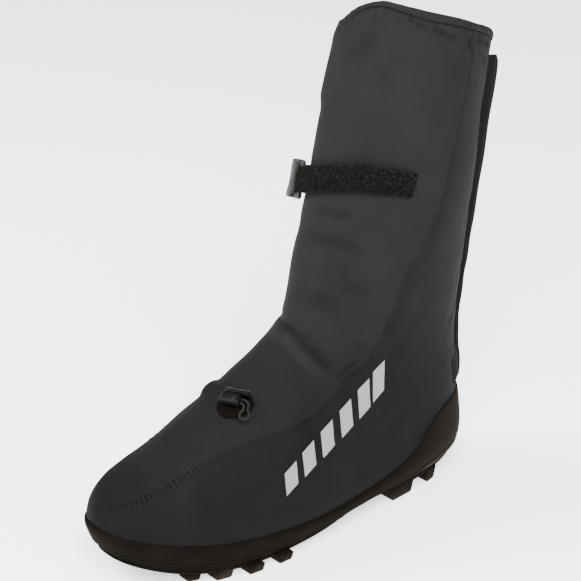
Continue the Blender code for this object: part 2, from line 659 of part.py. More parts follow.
def build_overshoe():
    clear_scene()
    finish = {name: make_material(name) for name in COLOURS}
    build_upper(finish["shaft_fabric"])
    build_outsole(finish["sole_rubber"])
    build_rand(finish["rand_rubber"])
    build_tape("closure_tape_hook", -1, TAPE_WIDTH_HOOK, finish["tape"])
    build_tape("closure_tape_loop", 1, TAPE_WIDTH_LOOP, finish["tape"])
    build_strap(finish["webbing"])
    build_anchor(finish["webbing"])
    build_ring(finish["ring_plastic"])
    build_tunnel(finish["shaft_fabric"])
    build_patch(finish["shaft_fabric"])
    build_lock(finish["lock_plastic"])
    build_cord(finish["cord"])


build_overshoe()
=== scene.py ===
import math
import bmesh
import bpy
import numpy as np
from mathutils import Matrix, Vector, noise


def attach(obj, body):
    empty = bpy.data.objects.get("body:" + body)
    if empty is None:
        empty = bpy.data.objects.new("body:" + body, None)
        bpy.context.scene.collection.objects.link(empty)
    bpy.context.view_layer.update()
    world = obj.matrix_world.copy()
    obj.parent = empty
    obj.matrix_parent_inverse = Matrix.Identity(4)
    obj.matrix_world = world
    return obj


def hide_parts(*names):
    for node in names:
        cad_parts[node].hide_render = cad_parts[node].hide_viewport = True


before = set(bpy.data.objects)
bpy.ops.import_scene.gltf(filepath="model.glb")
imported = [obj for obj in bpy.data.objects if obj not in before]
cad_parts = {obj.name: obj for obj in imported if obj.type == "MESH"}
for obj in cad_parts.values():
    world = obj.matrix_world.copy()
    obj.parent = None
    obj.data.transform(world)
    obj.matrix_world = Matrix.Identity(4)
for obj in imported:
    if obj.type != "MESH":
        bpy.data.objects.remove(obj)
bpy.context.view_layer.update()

mm = 0.001
boxMiddle = np.array([-0.17, 12.14, 0.0])  # middle of the shoe's box in the frame of the tables, mm
scatter = np.random.default_rng(11)


# shader maths: a wire is one socket, and sums on wires add their nodes
class Wire:
    def __init__(self, tree, socket=None):
        self.tree = tree
        self.socket = socket

    def node(self, kind, settings, sockets, out=0):
        made = self.tree.nodes.new(kind)
        for key, value in settings.items():
            setattr(made, key, value)
        for key, value in sockets.items():
            if isinstance(value, Wire):
                self.tree.links.new(value.socket, made.inputs[key])
            else:
                made.inputs[key].default_value = value
        return Wire(self.tree, made.outputs[out])

    def sum(self, operation, *values):
        return self.node("ShaderNodeMath", {"operation": operation}, dict(enumerate(values)))

    def __add__(self, other):
        return self.sum("ADD", self, other)

    def __radd__(self, other):
        return self.sum("ADD", other, self)

    def __sub__(self, other):
        return self.sum("SUBTRACT", self, other)

    def __rsub__(self, other):
        return self.sum("SUBTRACT", other, self)

    def __mul__(self, other):
        return self.sum("MULTIPLY", self, other)

    def __rmul__(self, other):
        return self.sum("MULTIPLY", other, self)

    def sine(self):
        return self.sum("SINE", self)

    def clip(self, low, high):
        return self.node("ShaderNodeMapRange", {"interpolation_type": "SMOOTHSTEP"},
                         {0: self, 1: low, 2: high, 3: 0.0, 4: 1.0})


def newFinish(name):   # the material, its first wire, and the place on the object
    finish = bpy.data.materials.new(name)
    finish.use_nodes = True
    wire = Wire(finish.node_tree)
    return finish, wire, wire.node("ShaderNodeTexCoord", {}, {}, out=3)


def joinShader(finish, links, fixed):
    shader = finish.node_tree.nodes["Principled BSDF"]
    for key, value in fixed.items():
        shader.inputs[key].default_value = value
    for key, value in links.items():
        finish.node_tree.links.new(value.socket, shader.inputs[key])
    return finish


def noiseAt(wire, place, scale, detail=3.0, rough=0.55):
    return wire.node("ShaderNodeTexNoise", {"noise_dimensions": "3D"},
                     {"Vector": place, "Scale": scale, "Detail": detail, "Roughness": rough})


def cellsAt(wire, place, scale, feature):
    return wire.node("ShaderNodeTexVoronoi", {"feature": feature}, {"Vector": place, "Scale": scale})


def partOf(wire, vector, axis):
    return wire.node("ShaderNodeSeparateXYZ", {}, {0: vector}, out=axis)


def markOf(wire, name):
    return wire.node("ShaderNodeAttribute", {"attribute_name": name}, {}, out=2)


def mixColour(wire, factor, first, second):
    first, second = (shade if isinstance(shade, Wire) else (*shade, 1.0) for shade in (first, second))
    return wire.node("ShaderNodeMix", {"data_type": "RGBA"}, {0: factor, 6: first, 7: second}, out=2)


def bumpOf(wire, height, strength, distance):
    return wire.node("ShaderNodeBump", {}, {"Strength": strength, "Distance": distance, "Height": height})


# coated fabric: mottled colour and a plain weave along the piece's own directions
fabric = {"mottle": 0.65, "fibre": 0.25, "weave": 0.06, "range": (0.2, 0.75), "mottleDetail": 4.0,
          "fibreScale": 1800.0, "fibreDetail": 2.0, "mottleRough": 0.16, "weaveRough": 0.03,
          "mottleDepth": 0.25, "bump": (0.55, 0.00022), "sheen": 0.0, "sheenRough": 0.45}


def fabricFinish(name, spec):
    look = {**fabric, **spec}
    finish, wire, place = newFinish(name)
    coords = wire.node("ShaderNodeUVMap", {"uv_map": "cloth"}, {})
    turns = 2 * math.pi / look["pitch"]
    weave = (partOf(wire, coords, 0) * turns).sine() * (partOf(wire, coords, 1) * turns).sine()
    mottle = noiseAt(wire, place, look["mottleScale"], look["mottleDetail"])
    fibre = noiseAt(wire, place, look["fibreScale"], look["fibreDetail"])
    tone = mottle * look["mottle"] + fibre * look["fibre"] + weave * look["weave"]
    colour = mixColour(wire, tone.clip(*look["range"]), look["dark"], look["light"])
    # painted shade: the upper is darkened by level, behind the seam and in its hollows, standing in for shade
    if "paintedShading" in look:
        colour = mixColour(wire, markOf(wire, "paintedShading"), colour, look["paintedShading"])
    rough = look["rough"] + (mottle - 0.5) * look["mottleRough"] + weave * look["weaveRough"]
    relief = weave * look["weaveDepth"] + fibre * look["fibreDepth"] + mottle * look["mottleDepth"]
    normal = bumpOf(wire, relief, *look["bump"])
    return joinShader(finish, {"Base Color": colour, "Roughness": rough, "Normal": normal},
                      {"Sheen Weight": look["sheen"], "Sheen Roughness": look["sheenRough"],
                       "Specular IOR Level": look["gloss"]})


# rubber: fine grain and clouds, painted light towards the heel, scuffs and a painted floor reflection on the
# lowest faces, a painted highlight on the lip where marked
rubber = {"grainScale": 1400.0, "cloudScale": 55.0, "cloudDetail": 4.0, "heel": (0.03, 0.13),
          "scuffAndLightCloud": 1.2, "scuffAndLightGrain": 0.4, "scuffAndLightRange": (0.45, 1.05), "cloud": 0.7, "grain": 0.3,
          "range": (0.3, 0.72), "lipHighlightGrain": 0.6, "lipHighlightRange": (0.30, 0.85), "grainRough": 0.2,
          "scuffAndLightRough": 0.12, "grainDepth": 0.5, "cloudDepth": 0.3, "bump": (0.5, 0.00025)}


def rubberFinish(name, spec):
    look = {**rubber, **spec}
    finish, wire, place = newFinish(name)
    grain = noiseAt(wire, place, look["grainScale"])
    cloud = noiseAt(wire, place, look["cloudScale"], look["cloudDetail"])
    cells = cellsAt(wire, place, look["cells"], "F1")
    heel = partOf(wire, place, 1).clip(*look["heel"])
    low = 1 - partOf(wire, place, 2).clip(0.0, look["scuffAndLightHeight"])
    # scuffs and a painted reflection of the pale floor, strongest on the lowest faces
    scuffAndLight = (low * (cloud * look["scuffAndLightCloud"] + grain * look["scuffAndLightGrain"])).clip(*look["scuffAndLightRange"])
    tone = (cloud * look["cloud"] + grain * look["grain"]).clip(*look["range"])
    colour = mixColour(wire, tone, look["dark"], look["light"])
    # painted light: paler towards the heel
    colour = mixColour(wire, heel * look["heelPaintedLight"], colour, look["lightAndScuffColour"])
    # paler lowest faces: scuffs with a painted floor reflection
    colour = mixColour(wire, scuffAndLight * look["scuffAndLight"], colour, look["lightAndScuffColour"])
    # painted highlight: a pale lip where marked
    if "pale" in look:
        lipHighlight = markOf(wire, "lipHighlight") * (cloud + grain * look["lipHighlightGrain"])
        colour = mixColour(wire, lipHighlight.clip(*look["lipHighlightRange"]), colour, look["pale"])
    rough = look["rough"] + (grain - 0.5) * look["grainRough"] + scuffAndLight * look["scuffAndLightRough"]
    relief = grain * look["grainDepth"] + cells * look["cellDepth"] + cloud * look["cloudDepth"]
    normal = bumpOf(wire, relief, *look["bump"])
    return joinShader(finish, {"Base Color": colour, "Roughness": rough, "Normal": normal},
                      {"Specular IOR Level": look["gloss"]})


# yarn, hooks and loops: matted fibres in two tones
nap = {"detail": 5.0, "matRough": 0.7, "fleckScale": 2.7, "fleckDetail": 2.0, "mat": 0.6, "fleck": 0.4,
       "range": (0.36, 0.68), "rough": 0.82, "roughSpread": 0.2, "fleckDepth": 0.5, "bump": 0.8, "sheen": 0.0,
       "sheenRough": 0.6, "gloss": 0.08}


def napFinish(name, spec):
    look = {**nap, **spec}
    finish, wire, place = newFinish(name)
    mat = noiseAt(wire, place, look["scale"], look["detail"], look["matRough"])
    fleck = noiseAt(wire, place, look["scale"] * look["fleckScale"], look["fleckDetail"])
    tone = (mat * look["mat"] + fleck * look["fleck"]).clip(*look["range"])
    colour = mixColour(wire, tone, look["dark"], look["light"])
    rough = look["rough"] + (mat - 0.5) * look["roughSpread"]
    normal = bumpOf(wire, mat + fleck * look["fleckDepth"], look["bump"], look["depth"])
    return joinShader(finish, {"Base Color": colour, "Roughness": rough, "Normal": normal},
                      {"Sheen Weight": look["sheen"], "Sheen Roughness": look["sheenRough"],
                       "Specular IOR Level": look["gloss"]})


# moulded plastic: faint flow marks and a fine satin texture
plastic = {"flowScale": 260.0, "satinScale": 2600.0, "satinDetail": 2.0, "flow": 0.7, "satin": 0.3,
           "range": (0.3, 0.7), "satinRough": 0.12, "flowRough": 0.06, "bump": (0.25, 0.00008), "metal": 0.0,
           "coat": 0.0, "coatRough": 0.12}


def plasticFinish(name, spec):
    look = {**plastic, **spec}
    finish, wire, place = newFinish(name)
    flow = noiseAt(wire, place, look["flowScale"])
    satin = noiseAt(wire, place, look["satinScale"], look["satinDetail"])
    tone = (flow * look["flow"] + satin * look["satin"]).clip(*look["range"])
    colour = mixColour(wire, tone, look["dark"], look["light"])
    rough = look["rough"] + (satin - 0.5) * look["satinRough"] + flow * look["flowRough"]
    normal = bumpOf(wire, satin + flow, *look["bump"])
    return joinShader(finish, {"Base Color": colour, "Roughness": rough, "Normal": normal},
                      {"Metallic": look["metal"], "Specular IOR Level": look["gloss"],
                       "Coat Weight": look["coat"], "Coat Roughness": look["coatRough"]})


# reflective transfer: silver film over a fine honeycomb of beads
def reflectFinish(name, look):
    finish, wire, place = newFinish(name)
    beads = cellsAt(wire, place, look["beads"], "DISTANCE_TO_EDGE")
    wear = noiseAt(wire, place, look["wearScale"], look["wearDetail"])
    line = 1 - beads.clip(0.0, look["lineWide"])
    tone = (line * look["line"] + (wear - 0.5) * look["wear"] + look["base"]).clip(*look["range"])
    colour = mixColour(wire, tone, look["light"], look["dark"])
    rough = look["rough"] + line * look["lineRough"]
    normal = bumpOf(wire, beads, *look["bump"])
    return joinShader(finish, {"Base Color": colour, "Roughness": rough, "Normal": normal},
                      {"Specular IOR Level": look["gloss"]})


finishes = {
    "shaft": fabricFinish("shaftFabric", {
        "dark": (0.0071, 0.0070, 0.0076), "light": (0.0101, 0.0099, 0.0107),
        # the dark colour that the painted shade mixes towards
        "paintedShading": (0.0032, 0.0029, 0.0032), "pitch": 0.00055, "mottleScale": 26.0, "rough": 0.74,
        "gloss": 0.035, "weaveDepth": 0.30, "fibreDepth": 0.18}),
    "lining": fabricFinish("liningMesh", {
        "dark": (0.0029, 0.0029, 0.0032), "light": (0.0046, 0.0046, 0.0049), "pitch": 0.0016,
        "mottleScale": 40.0, "rough": 0.80, "sheen": 0.01, "gloss": 0.1, "weaveDepth": 0.9,
        "fibreDepth": 0.3}),
    # the tab's olive colour, darkened as well to paint the shade under the lock
    "tab": fabricFinish("tabFabric", {
        "dark": (0.0024, 0.0020, 0.0014), "light": (0.0044, 0.0038, 0.0028), "pitch": 0.0009,
        "mottleScale": 90.0, "rough": 0.75, "gloss": 0.01, "weaveDepth": 0.7, "fibreDepth": 0.3}),
    "anchor": fabricFinish("anchorWebbing", {
        "dark": (0.0030, 0.0027, 0.0026), "light": (0.0052, 0.0047, 0.0045), "pitch": 0.0011,
        "mottleScale": 90.0, "rough": 0.75, "gloss": 0.03, "weaveDepth": 0.8, "fibreDepth": 0.3}),
    # the paler colour stands for painted light towards the heel and for scuffs with a painted floor
    # reflection
    "rand": rubberFinish("randRubber", {
        "dark": (0.00310, 0.00240, 0.00168), "light": (0.00480, 0.00380, 0.00276),
        "lightAndScuffColour": (0.0090, 0.0071, 0.0055), "heelPaintedLight": 0.80, "scuffAndLight": 0.30, "scuffAndLightHeight": 0.022,
        "rough": 0.66, "gloss": 0.008, "cells": 900.0, "cellDepth": 0.4}),
    "sole": rubberFinish("soleRubber", {
        "dark": (0.0034, 0.0027, 0.0021), "light": (0.0062, 0.0050, 0.0040), "lightAndScuffColour": (0.0190, 0.0152, 0.0124),
        "pale": (0.0520, 0.0480, 0.0450), "heelPaintedLight": 0.20, "scuffAndLight": 0.95, "scuffAndLightHeight": 0.016, "rough": 0.7,
        "gloss": 0.01, "cells": 700.0, "cellDepth": 0.5}),
    "hook": napFinish("hookTape", {
        "dark": (0.0035, 0.0035, 0.0037), "light": (0.0070, 0.0070, 0.0072), "scale": 900.0, "depth": 0.0003,
        "sheen": 0.01}),
    "loop": napFinish("loopTape", {
        "dark": (0.0016, 0.0016, 0.0018), "light": (0.0040, 0.0040, 0.0042), "scale": 700.0, "depth": 0.0004,
        "sheen": 0.01}),
    "strap": napFinish("brushedWebbing", {
        "dark": (0.0003, 0.0003, 0.0002), "light": (0.0062, 0.0054, 0.0046), "scale": 640.0, "depth": 0.0006,
        "detail": 1.0, "range": (0.44, 0.60)}),
    "fleck": napFinish("paleFlecks", {
        "dark": (0.0100, 0.0082, 0.0058), "light": (0.0370, 0.0306, 0.0220), "scale": 900.0,
        "depth": 0.0003}),
    "cord": napFinish("braidedCord", {
        "dark": (0.0048, 0.0045, 0.0042), "light": (0.0118, 0.0111, 0.0105), "scale": 1500.0, "depth": 0.0003,
        "sheen": 0.01}),
    "thread": napFinish("sewingThread", {
        "dark": (0.0014, 0.0014, 0.0015), "light": (0.0038, 0.0038, 0.0040), "scale": 2400.0,
        "depth": 0.0001}),
    "ring": plasticFinish("ringPlastic", {
        "dark": (0.0118, 0.0103, 0.0097), "light": (0.0172, 0.0151, 0.0143), "rough": 0.42, "gloss": 0.2}),
    "lock": plasticFinish("lockPlastic", {
        "dark": (0.0012, 0.0012, 0.0012), "light": (0.0026, 0.0023, 0.0022), "rough": 0.42, "gloss": 0.07,
        "coat": 0.01}),
    # a light metal strip standing in for a highlight: painted highlight on the button's top edge
    "bright": plasticFinish("brightEdge", {
        "dark": (0.2300, 0.2300, 0.2330), "light": (0.2700, 0.2700, 0.2730), "rough": 0.24, "gloss": 0.2,
        "metal": 1.0}),
    "print": reflectFinish("reflectiveTransfer", {
        "dark": (0.1080, 0.1140, 0.1170), "light": (0.1480, 0.1560, 0.1600), "beads": 1500.0,
        "wearScale": 170.0, "wearDetail": 4.0, "lineWide": 0.10, "line": 0.5, "wear": 0.6, "base": 0.2,
        "range": (0.1, 1.0), "rough": 0.55, "lineRough": 0.12, "bump": (0.3, 0.0001), "gloss": 0.5}),
}
print("finishes ready", len(finishes))


# the last: closed rings around the foot and the leg, from the feather edge to the collar, mm
last = {
    "columns": ("frontY", "frontZ", "backY", "backZ", "lateral", "medial", "widest", "frontPower",
                "backPower", "swing", "dip", "slant", "waist"),
    "rings": np.array([
        (-149.5, 27.5, 150.0, 17.0, 45.5, 45.0, 0.36, 2.50, 2.50, -10.0, 12.0, 0.0, 7.0),
        (-154.0, 46.5, 151.0, 32.0, 51.5, 51.5, 0.36, 2.40, 2.40, -9.0, 9.0, 0.0, 6.0),
        (-143.5, 65.0, 150.5, 51.0, 50.0, 50.0, 0.38, 2.30, 2.30, -8.0, 5.0, 0.0, 4.0),
        (-107.5, 82.0, 150.0, 76.5, 46.5, 46.5, 0.43, 2.15, 2.20, -5.0, 2.0, 0.0, 2.0),
        (-66.0, 102.0, 147.5, 101.0, 43.5, 44.0, 0.50, 2.00, 2.00, -2.0, 0.0, 0.0, 0.0),
        (-27.5, 120.0, 149.5, 125.0, 43.0, 42.5, 0.52, 2.00, 1.80, 0.0, 0.0, 0.0, 0.0),
        (0.5, 141.5, 153.0, 148.5, 44.5, 44.5, 0.50, 2.00, 1.65, 0.0, 0.0, 2.0, 0.0),
        (14.5, 181.0, 157.0, 176.5, 47.0, 47.5, 0.47, 2.10, 1.55, 0.0, 0.0, 4.0, 0.0),
        (31.0, 229.5, 162.5, 214.5, 48.5, 48.5, 0.45, 2.20, 1.50, 0.0, 0.0, 6.0, 0.0),
        (43.5, 283.0, 168.0, 254.5, 48.5, 48.5, 0.43, 2.20, 1.45, 0.0, 0.0, 9.0, 0.0),
        (60.5, 349.0, 175.0, 301.5, 48.0, 46.0, 0.42, 2.20, 1.40, 0.0, 0.0, 12.0, 0.0),
    ]),
    "ballBend": 0.58, "waistPlace": 0.62, "waistSpread": 0.16, "waistOuter": 0.4, "wall": 1.6, "collar": 10.0,
    "turnProbe": 0.6, "levelProbe": 0.01, "walkTurn": 0.5, "walkLevel": 0.02, "backTurn": 166.0,
}


def smoothRows(table, at):
    table = np.asarray(table, float)
    at = np.clip(np.asarray(at, float), 0.0, len(table) - 1.0)
    row = np.minimum(at.astype(int), len(table) - 2)
    t = (at - row)[..., None]
    ends = np.concatenate([[2 * table[0] - table[1]], table, [2 * table[-1] - table[-2]]])
    before, start, end, after = ends[row], ends[row + 1], ends[row + 2], ends[row + 3]
    bend = 2 * before - 5 * start + 4 * end - after
    twist = 3 * start - before - 3 * end + after
    return 0.5 * (2 * start + (end - before) * t + bend * t ** 2 + twist * t ** 3)


def splined(path, steps):
    return smoothRows(path, np.linspace(0.0, len(path) - 1.0, steps))


def rowsBy(table, key):
    table = np.asarray(table, float)
    return smoothRows(table, np.interp(key, table[:, 0], np.arange(len(table))))[..., 1]


def lineBy(table, key):
    return np.interp(key, *zip(*table))


def smoothStep(low, high, value):
    t = np.clip((value - low) / (high - low), 0.0, 1.0)
    return t * t * (3 - 2 * t)


def bothEnds(at, length, fade):
    return smoothStep(0.0, fade, at) * smoothStep(0.0, fade, length - at)


def bell(off, wide):
    return np.exp(-(off / wide) ** 2)


def waves(table, at):   # sum of sines, each with its height, rate and start
    return sum(high * np.sin(at * rate + start) for high, rate, start in table)


def unit(vector):
    return vector / np.linalg.norm(vector, axis=-1, keepdims=True)


def squared(vector, axis):   # the vector made square to an axis
    return unit(vector - axis * np.sum(vector * axis, axis=-1, keepdims=True))


def lengthAlong(points):
    return np.concatenate([[0.0], np.cumsum(np.linalg.norm(np.diff(points, axis=0), axis=1))])


def wrapTurn(turn):
    return (np.asarray(turn, float) + 180.0) % 360.0 - 180.0


def roundTurns(columns):
    return last["backTurn"] + np.arange(columns) * 360.0 / columns


def lastPoint(turn, level):
    turn, level = np.broadcast_arrays(np.radians(turn), np.asarray(level, float))
    ring = dict(zip(last["columns"], np.moveaxis(smoothRows(last["rings"], level), -1, 0)))
    ahead, aside = np.cos(turn), np.sin(turn)
    power = np.where(ahead > 0, ring["frontPower"], ring["backPower"])
    along = np.abs(ahead) ** (2 / power)
    across = np.sign(aside) * np.abs(aside) ** (2 / power)
    widest = ring["widest"]
    place = np.where(ahead > 0, widest * (1 - along), widest + (1 - widest) * along)
    pinch = ring["waist"] * bell(place - last["waistPlace"], last["waistSpread"])
    half = np.where(aside > 0, ring["lateral"] - last["waistOuter"] * pinch, ring["medial"] - pinch)
    sink = ring["dip"] * np.sin(np.pi * place ** last["ballBend"]) ** 2
    x = half * across + ring["swing"] * np.where(ahead > 0, along, 0.0) ** 2
    y = ring["frontY"] + (ring["backY"] - ring["frontY"]) * place
    z = ring["frontZ"] + (ring["backZ"] - ring["frontZ"]) * place - sink + ring["slant"] * across
    return np.stack([x, y, z], axis=-1), place


def lastAxes(turn, level):   # around, up and outward
    turn, level = np.broadcast_arrays(np.asarray(turn, float), np.asarray(level, float))
    step, rise = last["turnProbe"], last["levelProbe"]
    around = lastPoint(turn + step, level)[0] - lastPoint(turn - step, level)[0]
    above, below = np.minimum(level + rise, last["collar"]), np.maximum(level - rise, 0.0)
    outward = unit(np.cross(around, lastPoint(turn, above)[0] - lastPoint(turn, below)[0]))
    around = unit(around)
    return around, np.cross(outward, around), outward


def skin(turn, level, lift):
    return lastPoint(turn, level)[0] + lastAxes(turn, level)[2] * np.asarray(lift, float)[..., None]


def stepOnLast(turn, level, move):   # turn and level reached by a move along the skin, mm
    step, rise = last["walkTurn"], last["walkLevel"]
    a = (lastPoint(turn + step, level)[0] - lastPoint(turn - step, level)[0]) / (2 * step)
    b = (lastPoint(turn, level + rise)[0] - lastPoint(turn, level - rise)[0]) / (2 * rise)
    aa, ab, bb, am, bm = (np.sum(p * q, -1) for p, q in ((a, a), (a, b), (b, b), (a, move), (b, move)))
    det = aa * bb - ab * ab
    return turn + (bb * am - ab * bm) / det, level + (aa * bm - ab * am) / det


# mesh helpers
def gridFaces(rows, columns, ringClosed=True, endsClosed=False, first=0):
    r, c = np.meshgrid(np.arange(rows if endsClosed else rows - 1),
                       np.arange(columns if ringClosed else columns - 1), indexing="ij")
    r, c = r.ravel(), c.ravel()
    r2, c2 = (r + 1) % rows, (c + 1) % columns
    return first + np.stack([r * columns + c, r * columns + c2, r2 * columns + c2, r2 * columns + c], axis=1)


def tubes(parts):   # points and faces of grids of rings, each capped at both ends
    faces, first = [], 0
    for part in parts:
        rows, columns = part.shape[:2]
        ring = np.arange(columns)
        caps = np.array([ring[::-1], (rows - 1) * columns + ring])
        faces.append((gridFaces(rows, columns, first=first), first + caps))
        first += rows * columns
    points = np.concatenate([part.reshape(-1, 3) for part in parts])
    return points, [np.concatenate(group) for group in zip(*faces)]


def clothCoords(grid):   # distances round and up a closed grid, m
    grid = np.concatenate([grid, grid[:, :1]], axis=1)
    steps = (np.linalg.norm(np.diff(grid, axis=k), axis=2) for k in (1, 0))
    sums = [np.insert(np.cumsum(step, axis=k), 0, 0.0, axis=k) for step, k in zip(steps, (1, 0))]
    return np.stack(sums, axis=-1) * mm


def turnOut(work):
    bmesh.ops.recalc_face_normals(work, faces=work.faces[:])


def linked(name, data):
    item = bpy.data.objects.new(name, data)
    bpy.context.collection.objects.link(item)
    return item


def rideRoot(name, data, replaced):
    piece = linked(name, data)
    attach(piece, "root")
    if replaced:
        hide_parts(*replaced)
    return piece


def addPiece(name, shape, finish, replaced=(), woven=None, marks=None, change=turnOut, sharp=None):
    points = (np.asarray(shape[0], float).reshape(-1, 3) - boxMiddle) * mm
    loops = np.concatenate([group.ravel() for group in shape[1]]).astype(np.int32)
    counts = np.concatenate([np.full(len(group), group.shape[1]) for group in shape[1]])
    mesh = bpy.data.meshes.new(name)
    mesh.vertices.add(len(points))
    mesh.vertices.foreach_set("co", points.ravel())
    mesh.loops.add(len(loops))
    mesh.loops.foreach_set("vertex_index", loops)
    mesh.polygons.add(len(counts))
    mesh.polygons.foreach_set("loop_start", (np.cumsum(counts) - counts).astype(np.int32))
    if woven is not None:   # one coordinate per corner of each quad, so a closed ring has no jump
        columns = woven.shape[1]
        row, column = np.divmod(gridFaces(*woven.shape[:2]), columns)
        column = np.where((column == 0) & (column.max(axis=1, keepdims=True) == columns - 1), columns, column)
        coords = np.zeros((len(loops), 2), np.float32)
        coords[:column.size] = clothCoords(woven)[row, column].reshape(-1, 2)
        mesh.uv_layers.new(name="cloth").data.foreach_set("uv", coords.ravel())
    mesh.update(calc_edges=True)
    for key, values in (marks or {}).items():
        layer = mesh.attributes.new(key, "FLOAT", "POINT")
        layer.data.foreach_set("value", np.ravel(values).astype(np.float32))
    if change:
        work = bmesh.new()
        work.from_mesh(mesh)
        change(work)
        work.to_mesh(mesh)
        work.free()
    mesh.shade_smooth()
    if sharp:
        mesh.set_sharp_from_angle(angle=math.radians(sharp))
    mesh.materials.append(finish)
    rideRoot(name, mesh, replaced)


def pathAxes(path, sideways):   # heading, side and lift along a path
    heading = unit(np.gradient(path, axis=0))
    side = squared(sideways, heading)
    return heading, side, np.cross(heading, side)


def sweep(path, profile, sideways):   # profile points (side, lift) carried along a path
    side, lift = pathAxes(path, sideways)[1:]
    return path[:, None] + side[:, None] * profile[..., :1] + lift[:, None] * profile[..., 1:]


def ovalProfile(halfWide, halfThick, steps, power):
    angle = 2 * np.pi * np.arange(steps) / steps
    c, s = (np.sign(v) * np.abs(v) ** (2 / power) for v in (np.cos(angle), np.sin(angle)))
    return np.stack([halfWide * c, halfThick * s], axis=1)


# relief of the upper, placed by turn and level on the last, in mm off it
creases = [   # width, rise, share that fades at each end, then the path of the trough or ridge
    (3.8, -1.6, 0.3, (-75, 5.45), (-45, 5.85), (-17, 5.97), (5, 5.90), (20, 5.72), (34, 5.47), (50, 5.03),
     (64, 4.55)),
    (5.0, 1.2, 0.3, (-35, 5.72), (-12, 5.80), (7, 5.74), (22, 5.50), (38, 5.12), (50, 4.76), (58, 4.42)),
    (7.0, 1.1, 0.3, (-30, 6.20), (0, 6.24), (24, 6.05), (44, 5.66), (60, 5.20)),
    (2.6, -0.7, 0.3, (14, 5.88), (26, 5.82), (38, 5.62)),
    (2.6, 0.6, 0.3, (28, 5.96), (40, 5.80), (50, 5.55)),
    (2.2, -1.0, 0.3, (58, 4.62), (62, 4.82), (66, 5.10)),
    (2.0, -0.9, 0.3, (62, 4.48), (66, 4.66), (70, 4.90)),
    (1.8, 0.7, 0.3, (60, 4.58), (64, 4.74), (68, 5.00)),
    (6.0, -1.0, 0.35, (-12, 7.70), (5, 7.73), (22, 7.72), (36, 7.62)),
    (6.0, -1.1, 0.35, (-14, 7.42), (4, 7.42), (23, 7.38), (40, 7.28), (52, 7.22)),
    (6.0, 0.5, 0.35, (-10, 7.56), (10, 7.58), (34, 7.48)),
    (7.0, -0.7, 0.4, (30, 6.85), (44, 6.72), (58, 6.60)),
    (7.0, -0.7, 0.4, (8, 6.62), (24, 6.50), (36, 6.32)),
    (9.0, -0.7, 0.3, (74, 5.00), (72, 5.77), (77, 6.70), (85, 7.30)),
    (7.0, 0.8, 0.3, (64, 5.30), (62, 6.00), (68, 6.85)),
    (2.4, -1.2, 0.25, (107, 9.87), (116, 9.83), (134, 9.80)),
    (2.8, -1.3, 0.25, (109, 9.70), (120, 9.72), (136, 9.63)),
    (2.6, 1.1, 0.25, (112, 9.78), (124, 9.76), (138, 9.73)),
    (2.4, -1.3, 0.3, (96, 9.86), (102, 9.74), (106, 9.64)),
    (2.2, -1.3, 0.3, (60, 9.87), (74, 9.80), (86, 9.78)),
    (2.0, -1.0, 0.3, (38, 9.90), (50, 9.84), (60, 9.82)),
    (7.0, -0.7, 0.35, (-12, 9.50), (6, 9.58), (16, 9.74)),
    (11.0, 2.2, 0.2, (-44, 10.0), (-42, 9.80), (-40, 9.50), (-39, 9.20), (-39, 8.95)),
    (8.0, -0.8, 0.35, (-72, 9.30), (-66, 8.60), (-62, 8.20)),
    (7.0, -1.0, 0.35, (-70, 7.50), (-45, 7.40), (-25, 7.45)),
    (7.0, -1.0, 0.35, (-85, 6.60), (-62, 6.45), (-40, 6.55)),
    (5.0, -1.2, 0.3, (-95, 5.30), (-84, 4.90), (-74, 4.60)),
    (2.4, -0.8, 0.3, (-66, 4.60), (-72, 4.90), (-80, 5.40)),
    (9.0, 0.5, 0.4, (14, 3.02), (34, 3.62), (52, 3.92)),
    (10.0, -0.7, 0.4, (30, 2.20), (48, 2.75), (64, 2.90)),
    (10.0, -0.7, 0.4, (-20, 2.30), (-40, 2.90), (-62, 3.10)),
    (3.0, -1.4, 0.25, (146, 3.55), (150, 3.00), (153, 2.45)),
    (3.4, 1.6, 0.25, (158, 3.60), (158, 3.00), (158, 2.45)),
    (2.6, -1.6, 0.25, (166, 3.30), (166, 2.90), (166, 2.45)),
    (3.4, 1.2, 0.25, (-170, 3.60), (-172, 3.00), (-174, 2.45)),
    (3.2, 0.9, 0.04, (166, 3.25), (166, 6.0), (166, 9.80)),
    (4.0, -0.8, 0.3, (152, 9.40), (146, 8.80), (143, 8.30)),
    (5.0, -0.8, 0.3, (150, 7.70), (140, 7.40), (132, 7.20)),
    (5.0, -0.8, 0.3, (150, 6.40), (138, 6.20), (126, 6.15)),
    (6.0, -0.9, 0.3, (152, 5.30), (140, 5.00), (128, 4.80)),
    (5.0, -0.9, 0.3, (178, 8.60), (192, 8.40), (206, 8.45)),
    (6.0, -1.0, 0.3, (178, 6.90), (194, 6.60), (212, 6.55)),
    (6.0, -1.1, 0.3, (178, 5.30), (196, 4.95), (214, 4.85)),
]
seam = {   # its dip and lap, and the puckers along it: where they grow, die and come back at the ankle
    "path": [(6, 1.70), (18.5, 1.97), (28, 2.55), (36.5, 3.13), (48, 3.38), (57, 3.50), (62.5, 3.60),
             (67, 3.78), (68.5, 4.05), (68.5, 4.53), (71.5, 4.92), (70.5, 5.77), (75.5, 6.77), (86, 7.40),
             (93, 7.88), (103, 8.93), (108.5, 9.86)],
    "steps": 150, "dip": 0.22, "wide": 1.1, "lap": 0.25, "lapFrom": 0.8, "lapWide": 5.0, "pucker": 0.90,
    "pitch": 3.1, "reach": 3.2, "least": 0.12, "grows": (6.0, 16.0), "dies": (62.0, 88.0), "ankle": 0.25,
    "ankleAt": 165.0, "ankleWide": 30.0, "drift": [(1.7, 0.19, 0.0), (1.1, 0.071, 0.0)], "beat": 0.25,
    "beatRate": 0.33,
}
